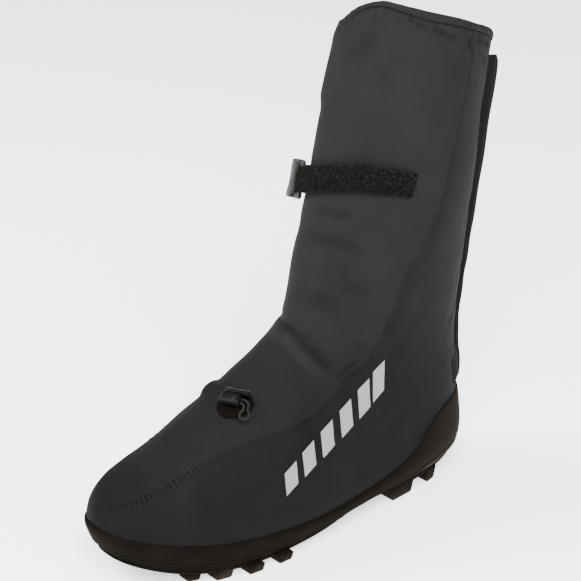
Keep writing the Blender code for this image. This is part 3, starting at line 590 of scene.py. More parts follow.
hem = {   # turn and level of the stitch line, share of the swell by turn, and the puckers of the rim
    "line": [(-180.0, 9.90), (-120.0, 9.90), (-60.0, 9.885), (-27.5, 9.89), (7.5, 9.945), (30.0, 9.93),
             (56.5, 9.905), (106.0, 9.92), (150.0, 9.91), (180.0, 9.90)],
    "swell": [(-180.0, 1.0), (-85.0, 1.0), (-62.0, 0.2), (-22.0, 0.2), (8.0, 1.0), (180.0, 1.0)],
    "rise": 0.95, "soft": 0.012, "groove": 0.75, "grooveDrop": 0.004, "grooveWide": 0.008, "pucker": 0.45,
    "puckerFrom": (9.70, 9.88), "rate": 0.45, "sway": [(1.6, 0.11, 0.0)], "beat": [(1.0, 0.31, 0.7)],
}
pressed = [   # cloth held flat under sewn-on pieces: path, reach and highest rise, mm
    {"path": [(-90, 7.96), (-43, 8.00), (0, 8.17), (25, 8.24), (50, 8.19), (70, 8.13)], "reach": 10.0,
     "cap": 0.1},
    {"path": [(-66, 3.45), (-42, 3.87), (-20, 4.09), (-7, 4.20), (13, 4.20), (20, 4.18)], "reach": 12.0,
     "cap": 0.05},
]
cloth = {
    "columns": 320, "rimRadius": 1.25, "rimSteps": 9, "creaseReach": 3.0, "pressReach": 1.6,
    "pressed": (0.85, 1.4),
    "undulation": [(0.60, 0.022, 0.0), (0.26, 0.065, 9.0)],   # height, scale and shift of two noises
    "calmLow": (0.6, 1.6), "calmHigh": (9.80, 9.9),
    # levels from and to with the row count, then level and lift of the rows turned in at the rim
    "rows": [(0.2, 1.5, 18), (1.5, 3.4, 80), (3.4, 6.2, 88), (6.2, 9.80, 80), (9.80, 9.972, 26)],
    "inside": [(9.95, -1.55), (9.92, -1.55), (9.89, -1.55), (9.86, -1.7)],
    # how far the rim stands above the collar by turn, mm, and the levels where that sets in
    "crown": [(-180.0, 3.0), (-150.0, 1.0), (-110.0, 0.0), (-75.0, -1.0), (-60.0, -2.0), (-45.0, -4.6),
              (-30.0, -5.6), (-20.0, -4.3), (-10.0, -1.4), (0.0, 1.0), (10.0, 2.8), (20.0, 3.5), (30.0, 2.3),
              (40.0, 1.0), (60.0, -0.3), (85.0, 0.0), (105.0, 0.5), (120.0, 2.5), (135.0, 4.0), (150.0, 4.5),
              (165.0, 4.0), (180.0, 3.0)],
    "crownFrom": (9.25, 10.0),
    # painted shade by level before and behind the seam, a painted highlight band, and painted shade in the
    # hollows
    "frontPaintedShade": [(0.8, 0.30), (1.4, 0.33), (2.0, 0.46), (2.9, 0.62), (4.2, 0.69), (5.0, 0.76), (5.5, 0.86),
                  (5.8, 1.0), (10.0, 1.0)],
    "backPaintedShade": [(1.0, 0.47), (2.0, 0.51), (2.9, 0.53), (4.2, 0.55), (5.2, 0.64), (6.3, 0.81), (8.0, 0.76),
                 (10.0, 0.74)],
    "paintedHighlight": [(33, 2.35), (37, 2.80), (40, 3.40), (44, 3.90)], "paintedHighlightReach": 39.6, "paintedHighlightWide": 18.0,
    "paintedHighlightLift": 0.14, "toneSoft": 1.5, "toneSpan": 0.65, "creaseShade": 0.62, "creaseShadeReach": 5,
}
lining = {"columns": 128, "levels": (9.90, 0.12, 120)}


def mirrored(path):
    return [(-turn, level) for turn, level in path]


def seamTurn(level):
    return np.interp(level, [v for t, v in seam["path"]], [t for t, v in seam["path"]])


def hemAt(turn):
    return lineBy(hem["line"], wrapTurn(turn))


def crownAt(turn, level):
    return rowsBy(cloth["crown"], wrapTurn(turn)) * smoothStep(*cloth["crownFrom"], level)


def onCollar(turn, level, lift):
    return skin(turn, level, lift) + crownAt(turn, level)[..., None] * lastAxes(turn, level)[1]


def nearPath(points, path, reach, steps=72):
    # which points lie within reach of a path, how far off, how far along it, and its length
    line = lastPoint(*splined(path, steps).T)[0]
    along = lengthAlong(line)
    low, high = line.min(axis=0) - reach, line.max(axis=0) + reach
    near = np.nonzero(np.all((points > low) & (points < high), axis=1))[0]
    best = np.full(len(near), np.inf)
    at = np.zeros(len(near))
    for a, b, start, end in zip(line[:-1], line[1:], along[:-1], along[1:]):
        way = b - a
        share = np.clip((points[near] - a) @ way / (way @ way), 0.0, 1.0)
        off = np.linalg.norm(points[near] - a - share[:, None] * way, axis=1)
        closer = off < best
        best = np.where(closer, off, best)
        at = np.where(closer, start + share * (end - start), at)
    return near, best, at, along[-1]


def seamRise(off, at, inFront):
    lap = seam["lap"] * inFront * smoothStep(0.0, seam["lapFrom"], off) * bell(off, seam["lapWide"])
    toe = smoothStep(*seam["grows"], at) * (1 - smoothStep(*seam["dies"], at))
    ankle = seam["ankle"] * bell(at - seam["ankleAt"], seam["ankleWide"])
    strong = seam["least"] + (1 - seam["least"]) * toe + ankle
    strong = strong * (1 - seam["beat"] + seam["beat"] * np.sin(at * seam["beatRate"]))
    wave = np.sin(2 * np.pi * at / seam["pitch"] + waves(seam["drift"], at))
    pucker = seam["pucker"] * strong * wave * bell(off, seam["reach"])
    return lap - seam["dip"] * bell(off, seam["wide"]) + pucker


def hemRise(side, height):
    line = hemAt(side)
    lip = hem["rise"] * smoothStep(line - hem["soft"], line + hem["soft"], height)
    groove = hem["groove"] * bell(height - line + hem["grooveDrop"], hem["grooveWide"])
    wave = np.sin(side * hem["rate"] + waves(hem["sway"], side)) * waves(hem["beat"], side)
    pucker = hem["pucker"] * wave * smoothStep(*hem["puckerFrom"], height)
    return lineBy(hem["swell"], side) * (lip - groove) + pucker


def reliefAt(turn, level):
    turn, level = np.broadcast_arrays(np.asarray(turn, float), np.asarray(level, float))
    points = lastPoint(turn, level)[0].reshape(-1, 3)
    height, side = level.ravel(), wrapTurn(turn.ravel())
    rise = np.zeros(len(points))
    for wide, high, fade, *path in creases:
        near, off, at, length = nearPath(points, path, cloth["creaseReach"] * wide)
        rise[near] += high * bothEnds(at, length, fade * length) * bell(off, wide)
    for path, way in ((seam["path"], 1.0), (mirrored(seam["path"]), -1.0)):
        near, off, at = nearPath(points, path, cloth["creaseReach"] * seam["reach"], seam["steps"])[:3]
        rise[near] += seamRise(off, at, seamTurn(height[near]) > way * side[near])
    calm = smoothStep(*cloth["calmLow"], height) * (1 - smoothStep(*cloth["calmHigh"], height))
    for high, scale, shift in cloth["undulation"]:
        rise += calm * high * np.array([noise.noise(Vector(p * scale + shift)) for p in points])
    for place in pressed:
        near, off = nearPath(points, place["path"], cloth["pressReach"] * place["reach"])[:2]
        inner, outer = (share * place["reach"] for share in cloth["pressed"])
        held = 1 - smoothStep(inner, outer, off)
        rise[near] += held * (np.minimum(rise[near], place["cap"]) - rise[near])
    return (rise + hemRise(side, height)).reshape(level.shape)


def clothPoint(turn, level, lift):
    return onCollar(turn, level, reliefAt(turn, level) + lift)


def blurred(grid, reach):
    # grid averaged over neighbours, round the ring and up the rows
    span = 2 * reach + 1
    for axis, edge in ((1, "wrap"), (1, "wrap"), (0, "edge"), (0, "edge")):
        margin = [(reach + 1, reach) if k == axis else (0, 0) for k in range(2)]
        total = np.cumsum(np.pad(grid, margin, mode=edge), axis=axis)
        count = total.shape[axis]
        ends, starts = (np.take(total, part, axis=axis)
                        for part in (range(span, count), range(count - span)))
        grid = (ends - starts) / span
    return grid


def makeUpper():
    turns, spans = roundTurns(cloth["columns"]), cloth["rows"]
    levels = np.concatenate([np.linspace(*span, endpoint=span is spans[-1]) for span in spans])
    level, turn = np.meshgrid(levels, turns, indexing="ij")
    rise = reliefAt(turn, level)
    outer = onCollar(turn, level, rise)
    up, outward = lastAxes(turns, levels[-1])[1:]
    r = cloth["rimRadius"]
    roll = [outer[-1] + r * (math.cos(a) - 1) * outward + r * math.sin(a) * up
            for a in np.radians(np.linspace(0, 180, cloth["rimSteps"])[1:])]
    inside = [skin(turns, v, lift) + crownAt(turns, v)[:, None] * up for v, lift in cloth["inside"]]
    points = np.concatenate([outer, roll, inside])
    # painted shade: darker low down and behind the seam, where less light falls
    behind = smoothStep(-cloth["toneSoft"], cloth["toneSoft"], np.abs(wrapTurn(turn)) - seamTurn(level))
    tone = lineBy(cloth["frontPaintedShade"], level) * (1 - behind) + lineBy(cloth["backPaintedShade"], level) * behind
    # painted highlight: a paler band on the side below the seam, standing in for light on a ridge
    near, off = nearPath(lastPoint(turn, level)[0].reshape(-1, 3), cloth["paintedHighlight"], cloth["paintedHighlightReach"])[:2]
    tone.reshape(-1)[near] += cloth["paintedHighlightLift"] * bell(off, cloth["paintedHighlightWide"])
    paintedShading = np.zeros(points.shape[:2])
    paintedShading[:len(levels)] = (1 - tone) / cloth["toneSpan"]
    # painted shade in the hollows of the relief and painted light on its ridges
    paintedShading[:len(levels)] -= cloth["creaseShade"] * (rise - blurred(rise, cloth["creaseShadeReach"]))
    addPiece("upperShell", (points, [gridFaces(*points.shape[:2])]), finishes["shaft"],
             ["upper"], woven=points, marks={"paintedShading": paintedShading}, change=None)


def makeLining():
    level, turn = np.meshgrid(np.linspace(*lining["levels"]), roundTurns(lining["columns"]), indexing="ij")
    points = onCollar(turn, level, -last["wall"])
    addPiece("lining", (points, [gridFaces(*level.shape)]), finishes["lining"], ["upper"],
             woven=points, change=None)


makeUpper()
makeLining()
print("upper and lining made")


# rubber rand round the foot: thinned towards its upper edge, a joint line above the sole
rand = {
    "top": [(0.0, 0.82), (0.12, 0.86), (0.30, 0.78), (0.50, 0.55), (0.66, 0.72), (0.78, 1.30), (0.85, 2.05),
            (0.92, 2.26), (1.0, 2.36)],
    "thick": 2.2, "columns": 320,
    # share of the height and share of the thickness, from the lower inside edge up and over
    "section": [(0.005, 0.1), (0.0, 0.50), (0.01, 0.76), (0.04, 0.84), (0.10, 0.86), (0.16, 0.86),
                (0.185, 0.80), (0.195, 0.55), (0.205, 0.55), (0.212, 0.90), (0.23, 1.0), (0.34, 1.0),
                (0.46, 1.0), (0.58, 1.0), (0.70, 0.97), (0.80, 0.90), (0.88, 0.79), (0.94, 0.65),
                (0.975, 0.50), (0.992, 0.34), (1.0, 0.12), (0.998, 0.02)],
}


def makeRand():
    turns = roundTurns(rand["columns"])
    top = rowsBy(rand["top"], lastPoint(turns, 0.0)[1])
    points = np.array([skin(turns, top * share, rand["thick"] * thick) for share, thick in rand["section"]])
    addPiece("randBand", (points, [gridFaces(*points.shape[:2], endsClosed=True)]), finishes["rand"],
             ["rand"])


# sole: stepped and ribbed side, grooved underside, bevelled lugs
sole = {
    "columns": 320, "seatGap": 0.4, "partColumns": 56, "weld": 0.00001, "sharp": 38.0,
    "thickness": [(0.0, 8.5), (0.12, 8.9), (0.34, 8.0), (0.48, 7.5), (0.55, 5.5), (0.60, 4.0), (0.67, 5.0),
                  (0.72, 8.5), (0.86, 9.0), (1.0, 7.5)],
    # share of the way down and inset: top lip, wall, step, lower wall, rounded edge
    "side": [(0.0, 1.2), (0.03, 0.5), (0.10, 0.3), (0.26, 0.3), (0.33, 0.6), (0.36, 1.6), (0.40, 2.3),
             (0.46, 2.5), (0.58, 2.5), (0.62, 2.9), (0.66, 2.9), (0.70, 2.5), (0.82, 2.6), (0.90, 3.2),
             (0.97, 4.2), (1.0, 5.4)],
    # where the pale lip on the heel's side is painted as a highlight
    "lipHighlightShares": (0.05, 0.34), "lipHighlightFrom": (0.76, 0.86), "lipHighlightTo": (0.95, 0.995),
    "ribs": 0.28, "ribCount": 150, "ribShares": (0.40, 0.9), "across": 26,
    "grooveDepth": 0.5, "groovePitch": 5.5, "grooveWall": (0.2, 0.8), "grooveEnd": 0.12,
}
lugs = {   # middle and length along the foot, inset of the outer face, width, height of the tread face, mm
    "pairs": [(-105.0, 8.0, 9.0, 10.0, 0.4), (-88.0, 11.0, 3.5, 11.0, 0.0), (-67.0, 10.5, -1.0, 12.0, 0.0),
              (-43.5, 10.5, -2.0, 12.0, 0.0), (-97.0, 8.0, 23.0, 9.0, 0.4), (-81.0, 9.0, 20.0, 11.0, 0.0),
              (-61.0, 9.0, 19.0, 12.0, 0.0), (-39.0, 9.0, 18.0, 13.0, 0.0), (75.0, 20.0, 3.5, 20.0, 0.0),
              (106.5, 9.0, 2.5, 18.0, 0.0)],
    "bars": [(-20.0, 9.0, 30.0, 0.8), (93.5, 8.0, 26.0, 0.0)],   # middle, length, width, tread height
    "taper": 1.3, "root": 2.5, "bevel": 1.6, "bevelSteps": 4, "bevelProfile": 0.55, "sharp": 50.0,
}


def featherRing(inset, columns):
    edge, place = lastPoint(np.arange(columns) * 360.0 / columns, 0.0)
    along = unit((np.roll(edge, -1, axis=0) - np.roll(edge, 1, axis=0))[:, :2])
    inward = np.stack([-along[:, 1], along[:, 0], np.zeros(columns)], axis=-1)
    return edge + inward * np.asarray(inset)[..., None], place


def edgeAt(y, side, inset):   # with the part's own count, so lugs stand where its lugs are
    ring, half = featherRing(inset, sole["partColumns"])[0], sole["partColumns"] // 2 + 1
    ring = ring[:half] if side > 0 else np.roll(ring[::-1], 1, axis=0)[:half]
    return np.interp(y, ring[:, 1], ring[:, 0])


def soleUnder(y):
    ring, place = (row[:sole["partColumns"] // 2 + 1] for row in featherRing(0.0, sole["partColumns"]))
    return np.interp(y, ring[:, 1], ring[:, 2] - sole["seatGap"] - rowsBy(sole["thickness"], place))


def weldShut(work):
    bmesh.ops.remove_doubles(work, verts=work.verts[:], dist=sole["weld"])
    turnOut(work)


def makeSole():
    columns, steps = sole["columns"], sole["across"]
    half = columns // 2
    rib = 0.5 + 0.5 * np.sign(np.sin(2 * np.pi * np.arange(columns) * sole["ribCount"] / columns))
    rings, lipHighlight = [], []
    for share, inset in sole["side"]:
        ribbed = sole["ribShares"][0] < share < sole["ribShares"][1]
        ring, place = featherRing(inset + sole["ribs"] * rib * ribbed, columns)
        ring[:, 2] -= sole["seatGap"] + share * rowsBy(sole["thickness"], place)
        rings.append(ring)
        # painted highlight on the heel's side, on the lip of the sole
        heelSide = smoothStep(*sole["lipHighlightFrom"], place) * (1 - smoothStep(*sole["lipHighlightTo"], place))
        lipHighlight.append(heelSide * (sole["lipHighlightShares"][0] < share < sole["lipHighlightShares"][1]))
    points = list(np.concatenate(rings))
    faces = [gridFaces(len(rings), columns)]
    share = np.linspace(0.0, 1.0, steps + 1)[:, None]
    # upper and under face, in strips from side to side
    for ring, grooved in ((rings[0], False), (rings[-1], True)):
        first = len(points)
        strips = np.array([ring[i] * (1 - share) + ring[columns - i] * share for i in range(1, half)])
        if grooved:
            wave = np.cos(2 * np.pi * strips[..., 1] / sole["groovePitch"])
            inner = bothEnds(share[:, 0], 1.0, sole["grooveEnd"])
            strips[..., 2] += sole["grooveDepth"] * smoothStep(*sole["grooveWall"], wave) * inner
        points += list(strips.reshape(-1, 3))
        faces.append(gridFaces(half - 1, steps + 1, ringClosed=False, first=first))
        for end, row in ((0, 0), (half, half - 2)):
            fan = first + row * (steps + 1) + np.arange(steps + 1)
            faces.append(np.stack([np.full(steps, len(points)), fan[:-1], fan[1:]], axis=1))
            points.append(ring[end])
    paintedHighlight = np.zeros(len(points))
    paintedHighlight[:len(rings) * columns] = np.concatenate(lipHighlight)
    addPiece("soleBase", (points, faces), finishes["sole"], ["outsole"],
             marks={"lipHighlight": paintedHighlight}, change=weldShut, sharp=sole["sharp"])


def lugCorners(ends, treadZ):   # four corners at the root, then four at the tread
    corners = []
    for atRoot, grow in ((True, lugs["taper"]), (False, 0.0)):
        for y, lowX, highX, out in ends:
            height = soleUnder(y) + lugs["root"] if atRoot else treadZ
            corners += [(x, y + out * grow, height) for x in (lowX - grow, highX + grow)]
    return corners


def bevelEdges(work):
    turnOut(work)
    bmesh.ops.bevel(work, geom=work.edges[:], offset=lugs["bevel"] * mm, segments=lugs["bevelSteps"],
                    profile=lugs["bevelProfile"], affect="EDGES")


def makeLugs():
    blocks = []
    for middle, length, inset, width, treadZ in lugs["pairs"]:
        for side in (-1, 1):
            ends = []
            for out in (-1, 1):
                outer = edgeAt(middle + out * 0.5 * length, side, inset)
                ends.append((middle + out * 0.5 * length, *sorted((outer, outer - side * width)), out))
            blocks.append(lugCorners(ends, treadZ))
    for middle, length, width, treadZ in lugs["bars"]:
        ends = []
        for out in (-1, 1):
            y = middle + out * 0.5 * length
            centre = 0.5 * (edgeAt(y, 1, 0.0) + edgeAt(y, -1, 0.0))
            ends.append((y, centre - 0.5 * width, centre + 0.5 * width, out))
        blocks.append(lugCorners(ends, treadZ))
    sides = np.array([(0, 1, 3, 2), (4, 5, 7, 6), (0, 1, 5, 4), (2, 3, 7, 6), (0, 2, 6, 4), (1, 3, 7, 5)])
    faces = np.concatenate([sides + 8 * i for i in range(len(blocks))])
    addPiece("soleLugs", (np.concatenate(blocks), [faces]), finishes["sole"], ["outsole"],
             change=bevelEdges, sharp=lugs["sharp"])


makeRand()
makeSole()
makeLugs()
print("rand and sole made")


# closure tapes standing out behind the leg, the hook tape a little wider than the loop tape
tapes = {
    "levels": (2.55, 9.82, 150), "thick": 1.9, "parting": 0.3, "footShare": 0.30, "seat": -0.3, "sharp": 45.0,
    "foot": (0.55, 0.8, 0.94), "top": (0.97, 0.92, 0.8),   # shares of the width in the first and last rows
    "lean": [(0.175, 31.0, 0.0), (0.105, 57.0, 1.0)], "edge": 0.21, "edgeRate": 43.0,
    # shares of the near face, of the far face and of the reach
    "section": [(1.0, 0.0, 0.0), (0.0, 0.8, 0.0), (0.0, 1.0, 0.06), (0.0, 1.0, 0.3), (0.0, 1.0, 0.6),
                (0.0, 1.0, 0.85), (0.0, 0.97, 0.95), (0.0, 0.75, 1.0), (2.0, 0.0, 1.0), (1.0, 0.0, 0.97),
                (1.0, 0.0, 0.7), (1.0, 0.0, 0.35)],
}


def makeTape(name, side, width, finish, node):
    levels = np.linspace(*tapes["levels"])
    root = skin(last["backTurn"], levels, tapes["seat"])
    out = unit(lastAxes(last["backTurn"], levels)[2] * np.array([1.0, 1.0, 0.0]))
    aside = np.stack([out[:, 1], -out[:, 0], np.zeros(len(out))], axis=-1) * side
    grow = np.linspace(tapes["footShare"], 1.0, len(levels))
    grow[:3] *= tapes["foot"]
    grow[-3:] *= tapes["top"]
    along = np.linspace(0.0, 1.0, len(levels))
    lean = waves(tapes["lean"], along)[:, None]
    reach = width * grow + waves([(tapes["edge"], tapes["edgeRate"], side)], along) - tapes["seat"]
    near, far, share = np.array(tapes["section"]).T
    across = (near + far) * 0.5 * tapes["parting"] + far * tapes["thick"] + lean * share ** 2
    points = root[:, None] + across[..., None] * aside[:, None]
    points += (reach[:, None] * share)[..., None] * out[:, None]
    addPiece(name, tubes([points]), finish, [node], sharp=tapes["sharp"])


makeTape("hookTape", -1, 9.5, finishes["hook"], "closure_tape_hook")
makeTape("loopTape", 1, 7.0, finishes["loop"], "closure_tape_loop")


# calf strap and ring anchor: webbing led round a bar of the slot ring and back over itself
strap = {
    "line": [(-90.0, 7.96), (-60.0, 7.98), (-43.0, 8.00), (-33.0, 8.03), (-18.0, 8.09), (0.0, 8.17),
             (25.0, 8.24), (50.0, 8.19), (70.0, 8.13)],
    "width": 17.0, "thick": 1.6, "gap": 0.5, "seatGap": 0.4, "sewn": 40.0, "end": 68.0, "anchorSewn": -74.0,
    "nearTurn": -33.0, "nearLift": 4.4, "farTurn": -43.0, "farLift": 8.8, "bar": 2.6, "clear": 0.5,
    "grip": 12.0, "gripFade": 6.0, "reach": 17.0, "land": 12.0, "step": 2.0, "foldSteps": 13, "riseSteps": 11,
    "rounded": (1.7, 0.7, 0.2), "wobble": [(0.12, 0.9, 0.0), (0.1, 2.3, 0.0)], "sides": 28, "power": 5.0,
    "sharp": 60.0,
}
yarn = {   # small loops standing on the outer run of the strap, mm
    "naps": 3000, "flecks": 460, "high": 0.8, "thick": 0.17, "span": (0.8, 1.7), "highs": (0.45, 1.0),
    "thicks": (0.8, 1.5), "before": 10, "stop": 1.6, "margin": 0.3, "sunk": 0.12, "corners": (0.0, 4.2, 2.1),
    "arc": [(-0.5, 0.0), (-0.3, 0.75), (0.05, 1.0), (0.34, 0.7), (0.5, 0.0)],   # shares of span and height
}


def strapLevel(turn):
    return rowsBy(strap["line"], turn)


def ringAxes():
    bars = [skin(turn, strapLevel(turn), lift) for turn, lift in (
        (strap["nearTurn"], strap["nearLift"]), (strap["farTurn"], strap["farLift"]))]
    across = unit(bars[1] - bars[0])
    up = squared(lastAxes(strap["nearTurn"], strapLevel(strap["nearTurn"]))[1], across)
    return bars, across, up, np.cross(across, up)


def hairpin(sewn, end, barTurn, barLift):   # turns and lifts of the webbing, and where its outer run starts
    low = strap["gap"] + 0.5 * strap["thick"]
    high = low + strap["thick"] + strap["seatGap"]
    radius = 0.5 * strap["bar"] + strap["clear"] + 0.5 * strap["thick"]
    way = np.sign(barTurn - sewn)
    a, b = (lastPoint(barTurn + s, strapLevel(barTurn + s))[0] for s in (-1.0, 1.0))
    speed = np.linalg.norm(b - a) / 2.0
    bend = np.radians(np.linspace(-90.0, 90.0, strap["foldSteps"]))
    fold = [(barTurn + way * radius * np.cos(t) / speed, barLift + radius * np.sin(t)) for t in bend]
    near = barTurn - way * strap["reach"]
    under, over = (np.linspace(start, stop, max(2, int(abs(stop - start) / strap["step"]) + 1))
                   for start, stop in ((sewn, near), (near, end)))
    shares = np.linspace(0.0, 1.0, strap["riseSteps"])[1:-1]
    rise = smoothStep(0.0, 1.0, shares)
    turns = near + shares * (barTurn - near)
    route = [(turn, low) for turn in under]
    route += list(zip(turns, low + rise * (fold[0][1] - low))) + fold
    route += list(zip(turns[::-1], high + rise[::-1] * (fold[-1][1] - high)))
    landed = np.clip(way * (sewn - over) / strap["land"], 0.0, 1.0)
    return np.array(route + list(zip(over, high + landed * (low - high)))), len(route)


def webbingFrame(route):
    turns, lifts = route.T
    levels = strapLevel(turns)
    offBar = (np.abs(turns - strap["nearTurn"]) - strap["grip"]) / strap["gripFade"]
    atBar = 1 - np.clip(offBar, 0.0, 1.0)[:, None]
    return skin(turns, levels, lifts), lastAxes(turns, levels)[1] * (1 - atBar) + ringAxes()[2] * atBar


def makeWebbing(name, route, finish, node):
    middle, up = webbingFrame(route)
    half = 0.5 * strap["width"] + waves(strap["wobble"], np.arange(len(route)))
    half[:3] -= strap["rounded"]
    half[-3:] -= strap["rounded"][::-1]
    profile = np.array([ovalProfile(h, 0.5 * strap["thick"], strap["sides"], strap["power"]) for h in half])
    points = sweep(middle, profile, up)
    addPiece(name, tubes([points]), finish, [node], woven=points, sharp=strap["sharp"])


def makeNap(name, route, first, count, finish):
    middle, up = webbingFrame(route)
    heading, side, lift = pathAxes(middle, up)
    out = lastAxes(route[:, 0], strapLevel(route[:, 0]))[2]
    lift = lift * np.sign(np.sum(lift * out, axis=1, keepdims=True))
    share, rise = np.array(yarn["arc"]).T[..., None]
    corner = np.array(yarn["corners"])[:, None]
    loops = []
    for i in range(count):
        at = scatter.uniform(first, len(route) - yarn["stop"])
        k = int(at)
        centre = middle[k] * (1 - at + k) + middle[k + 1] * (at - k)
        across = scatter.uniform(-1.0, 1.0) * (0.5 * strap["width"] - yarn["margin"])
        foot = centre + side[k] * across + lift[k] * (0.5 * strap["thick"] - yarn["sunk"])
        turn = scatter.uniform(0.0, 2 * np.pi)
        way = heading[k] * np.cos(turn) + side[k] * np.sin(turn)
        span = scatter.uniform(*yarn["span"])
        high = yarn["high"] * scatter.uniform(*yarn["highs"])
        thick = yarn["thick"] * scatter.uniform(*yarn["thicks"])
        arc = foot + way * share * span + lift[k] * rise * high
        rim = thick * (np.cos(corner) * np.cross(way, lift[k]) + np.sin(corner) * lift[k])
        loops.append(arc[:, None] + rim)
    addPiece(name, tubes(loops), finish, change=None)


strapRoute, outerRun = hairpin(strap["sewn"], strap["end"], strap["nearTurn"], strap["nearLift"])
anchorRoute = hairpin(strap["anchorSewn"], strap["anchorSewn"], strap["farTurn"], strap["farLift"])[0]
makeWebbing("calfStrap", strapRoute, finishes["strap"], "calf_strap")
makeWebbing("ringAnchor", anchorRoute, finishes["anchor"], "ring_anchor")
makeNap("strapNap", strapRoute, outerRun - yarn["before"], yarn["naps"], finishes["strap"])
makeNap("strapFlecks", strapRoute, outerRun - yarn["before"], yarn["flecks"], finishes["fleck"])
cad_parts["slot_ring"].data.materials[0] = finishes["ring"]


# broad moulded bar on the ring's outer side, round the fold of the anchor and leaning out at its foot
ringBar = {
    "long": 26.2, "half": 3.7, "outer": 2.2, "inner": 5.2, "lean": 1.2, "foot": 2.0, "footFrom": 0.1,
    "cut": 1.9, "cutFrom": 0.66, "sides": 32, "power": 5.0, "sharp": 50.0,
    # share of the way from the middle to an end, and size of the section there
    "rows": [(0.40, 0.95), (0.45, 1.0), (0.66, 1.0), (0.78, 1.0), (0.90, 1.0), (0.955, 0.96), (0.985, 0.86),
             (1.0, 0.70)],
}


def makeRingBar():
    bars, across, up, out = ringAxes()
    rings = []
    for share, grow in [(-share, grow) for share, grow in ringBar["rows"][::-1]] + ringBar["rows"]:
        lean = ringBar["lean"] * share
        foot = ringBar["foot"] * smoothStep(ringBar["footFrom"], 1.0, -share)
        topCut, footCut = (ringBar["cut"] * smoothStep(ringBar["cutFrom"], 1.0, end)
                           for end in (share, -share))
        outer = ringBar["outer"] - lean + foot - topCut
        inner = ringBar["inner"] + lean - footCut
        ring = ovalProfile(1.0, ringBar["half"], ringBar["sides"], ringBar["power"]) * grow
        aside = ring[:, :1] * np.where(ring[:, :1] > 0, outer, inner)
        rings.append(bars[1] + 0.5 * ringBar["long"] * share * up + aside * across + ring[:, 1:] * out)
    addPiece("ringBar", tubes([np.array(rings)]), finishes["ring"], sharp=ringBar["sharp"])


makeRingBar()
print("tapes and strap made")


# drawcord over the instep: gathered tunnel, dark tab that also paints the shade under the lock, lock with its
# long button, and the loop
tunnel = {
    "path": [(-66.0, 3.45), (-42.0, 3.87), (-20.0, 4.09), (-7.0, 4.20)], "wide": 16.0, "crown": 2.6,
    "edge": 0.5, "fade": 0.12, "steps": 150, "across": 30, "hump": 0.8, "humpPower": 0.75, "gather": 0.30,
    "pitch": 4.6, "drift": [(1.2, 0.3, 0.0)], "valley": 0.2, "ends": 6.0, "square": 8, "lift": 0.1,
    # the tunnel carries the painted shade of the upper at its level
    "sunk": -0.5, "paintedShading": 0.55, "sharp": 60.0,
}
patch = {
    "turn": 13.0, "level": 4.20, "radius": 12.0, "thick": 0.9, "gap": 0.4, "steps": 60,
    # shares of the radius and of the thickness, from below over the rolled edge to the middle
    "rings": [(0.03, 0.0), (0.97, 0.0), (1.0, 0.3), (0.995, 0.75), (0.96, 1.0), (0.90, 0.92), (0.86, 1.0),
              (0.7, 1.05), (0.5, 1.0), (0.3, 1.03), (0.03, 1.0)],
}
lock = {
    "turn": 12.0, "level": 4.19, "size": (13.5, 8.0, 6.5), "button": (16.5, 3.2, 5.0), "buttonShift": 3.0,
    # the shine is a light strip that paints the highlight along the button's top edge
    "shine": (15.9, 0.8, 1.0), "shineIn": 0.35, "shineDown": 0.7, "neck": (9.0, 1.6, 3.4), "neckShift": 0.3,
    "neckOut": 0.1, "soft": 0.28, "sides": 32, "power": 4.5, "sharp": 50.0,
    "ends": [(0.0, 0.62), (0.25, 0.82), (0.6, 0.95), (1.0, 1.0)],   # shares of the rounding and section
    "ribs": (-3.2, -1.6, 0.0, 1.6), "groove": [(-0.5, 1.0), (-0.3, 0.91), (0.3, 0.91), (0.5, 1.0)],
}
cord = {   # across, down and lift from the middle of the lock's seat
    "route": [(7.2, -1.4, 3.4), (9.0, -1.3, 3.3), (10.9, -0.8, 3.0), (12.4, 0.4, 2.6), (13.1, 2.0, 2.2),
              (13.3, 3.7, 1.8), (13.9, 5.4, 1.5), (15.2, 7.0, 1.4), (15.9, 9.0, 1.4), (15.2, 11.2, 1.5),
              (13.2, 12.3, 1.6), (10.9, 11.7, 1.7), (9.7, 9.8, 1.8), (9.9, 7.7, 2.0), (10.8, 6.0, 2.4),
              (11.0, 4.3, 2.9), (10.2, 2.8, 3.3), (8.8, 1.8, 3.5), (7.2, 1.4, 3.5)],
    "thick": 1.6, "points": 39, "sides": 4,
}


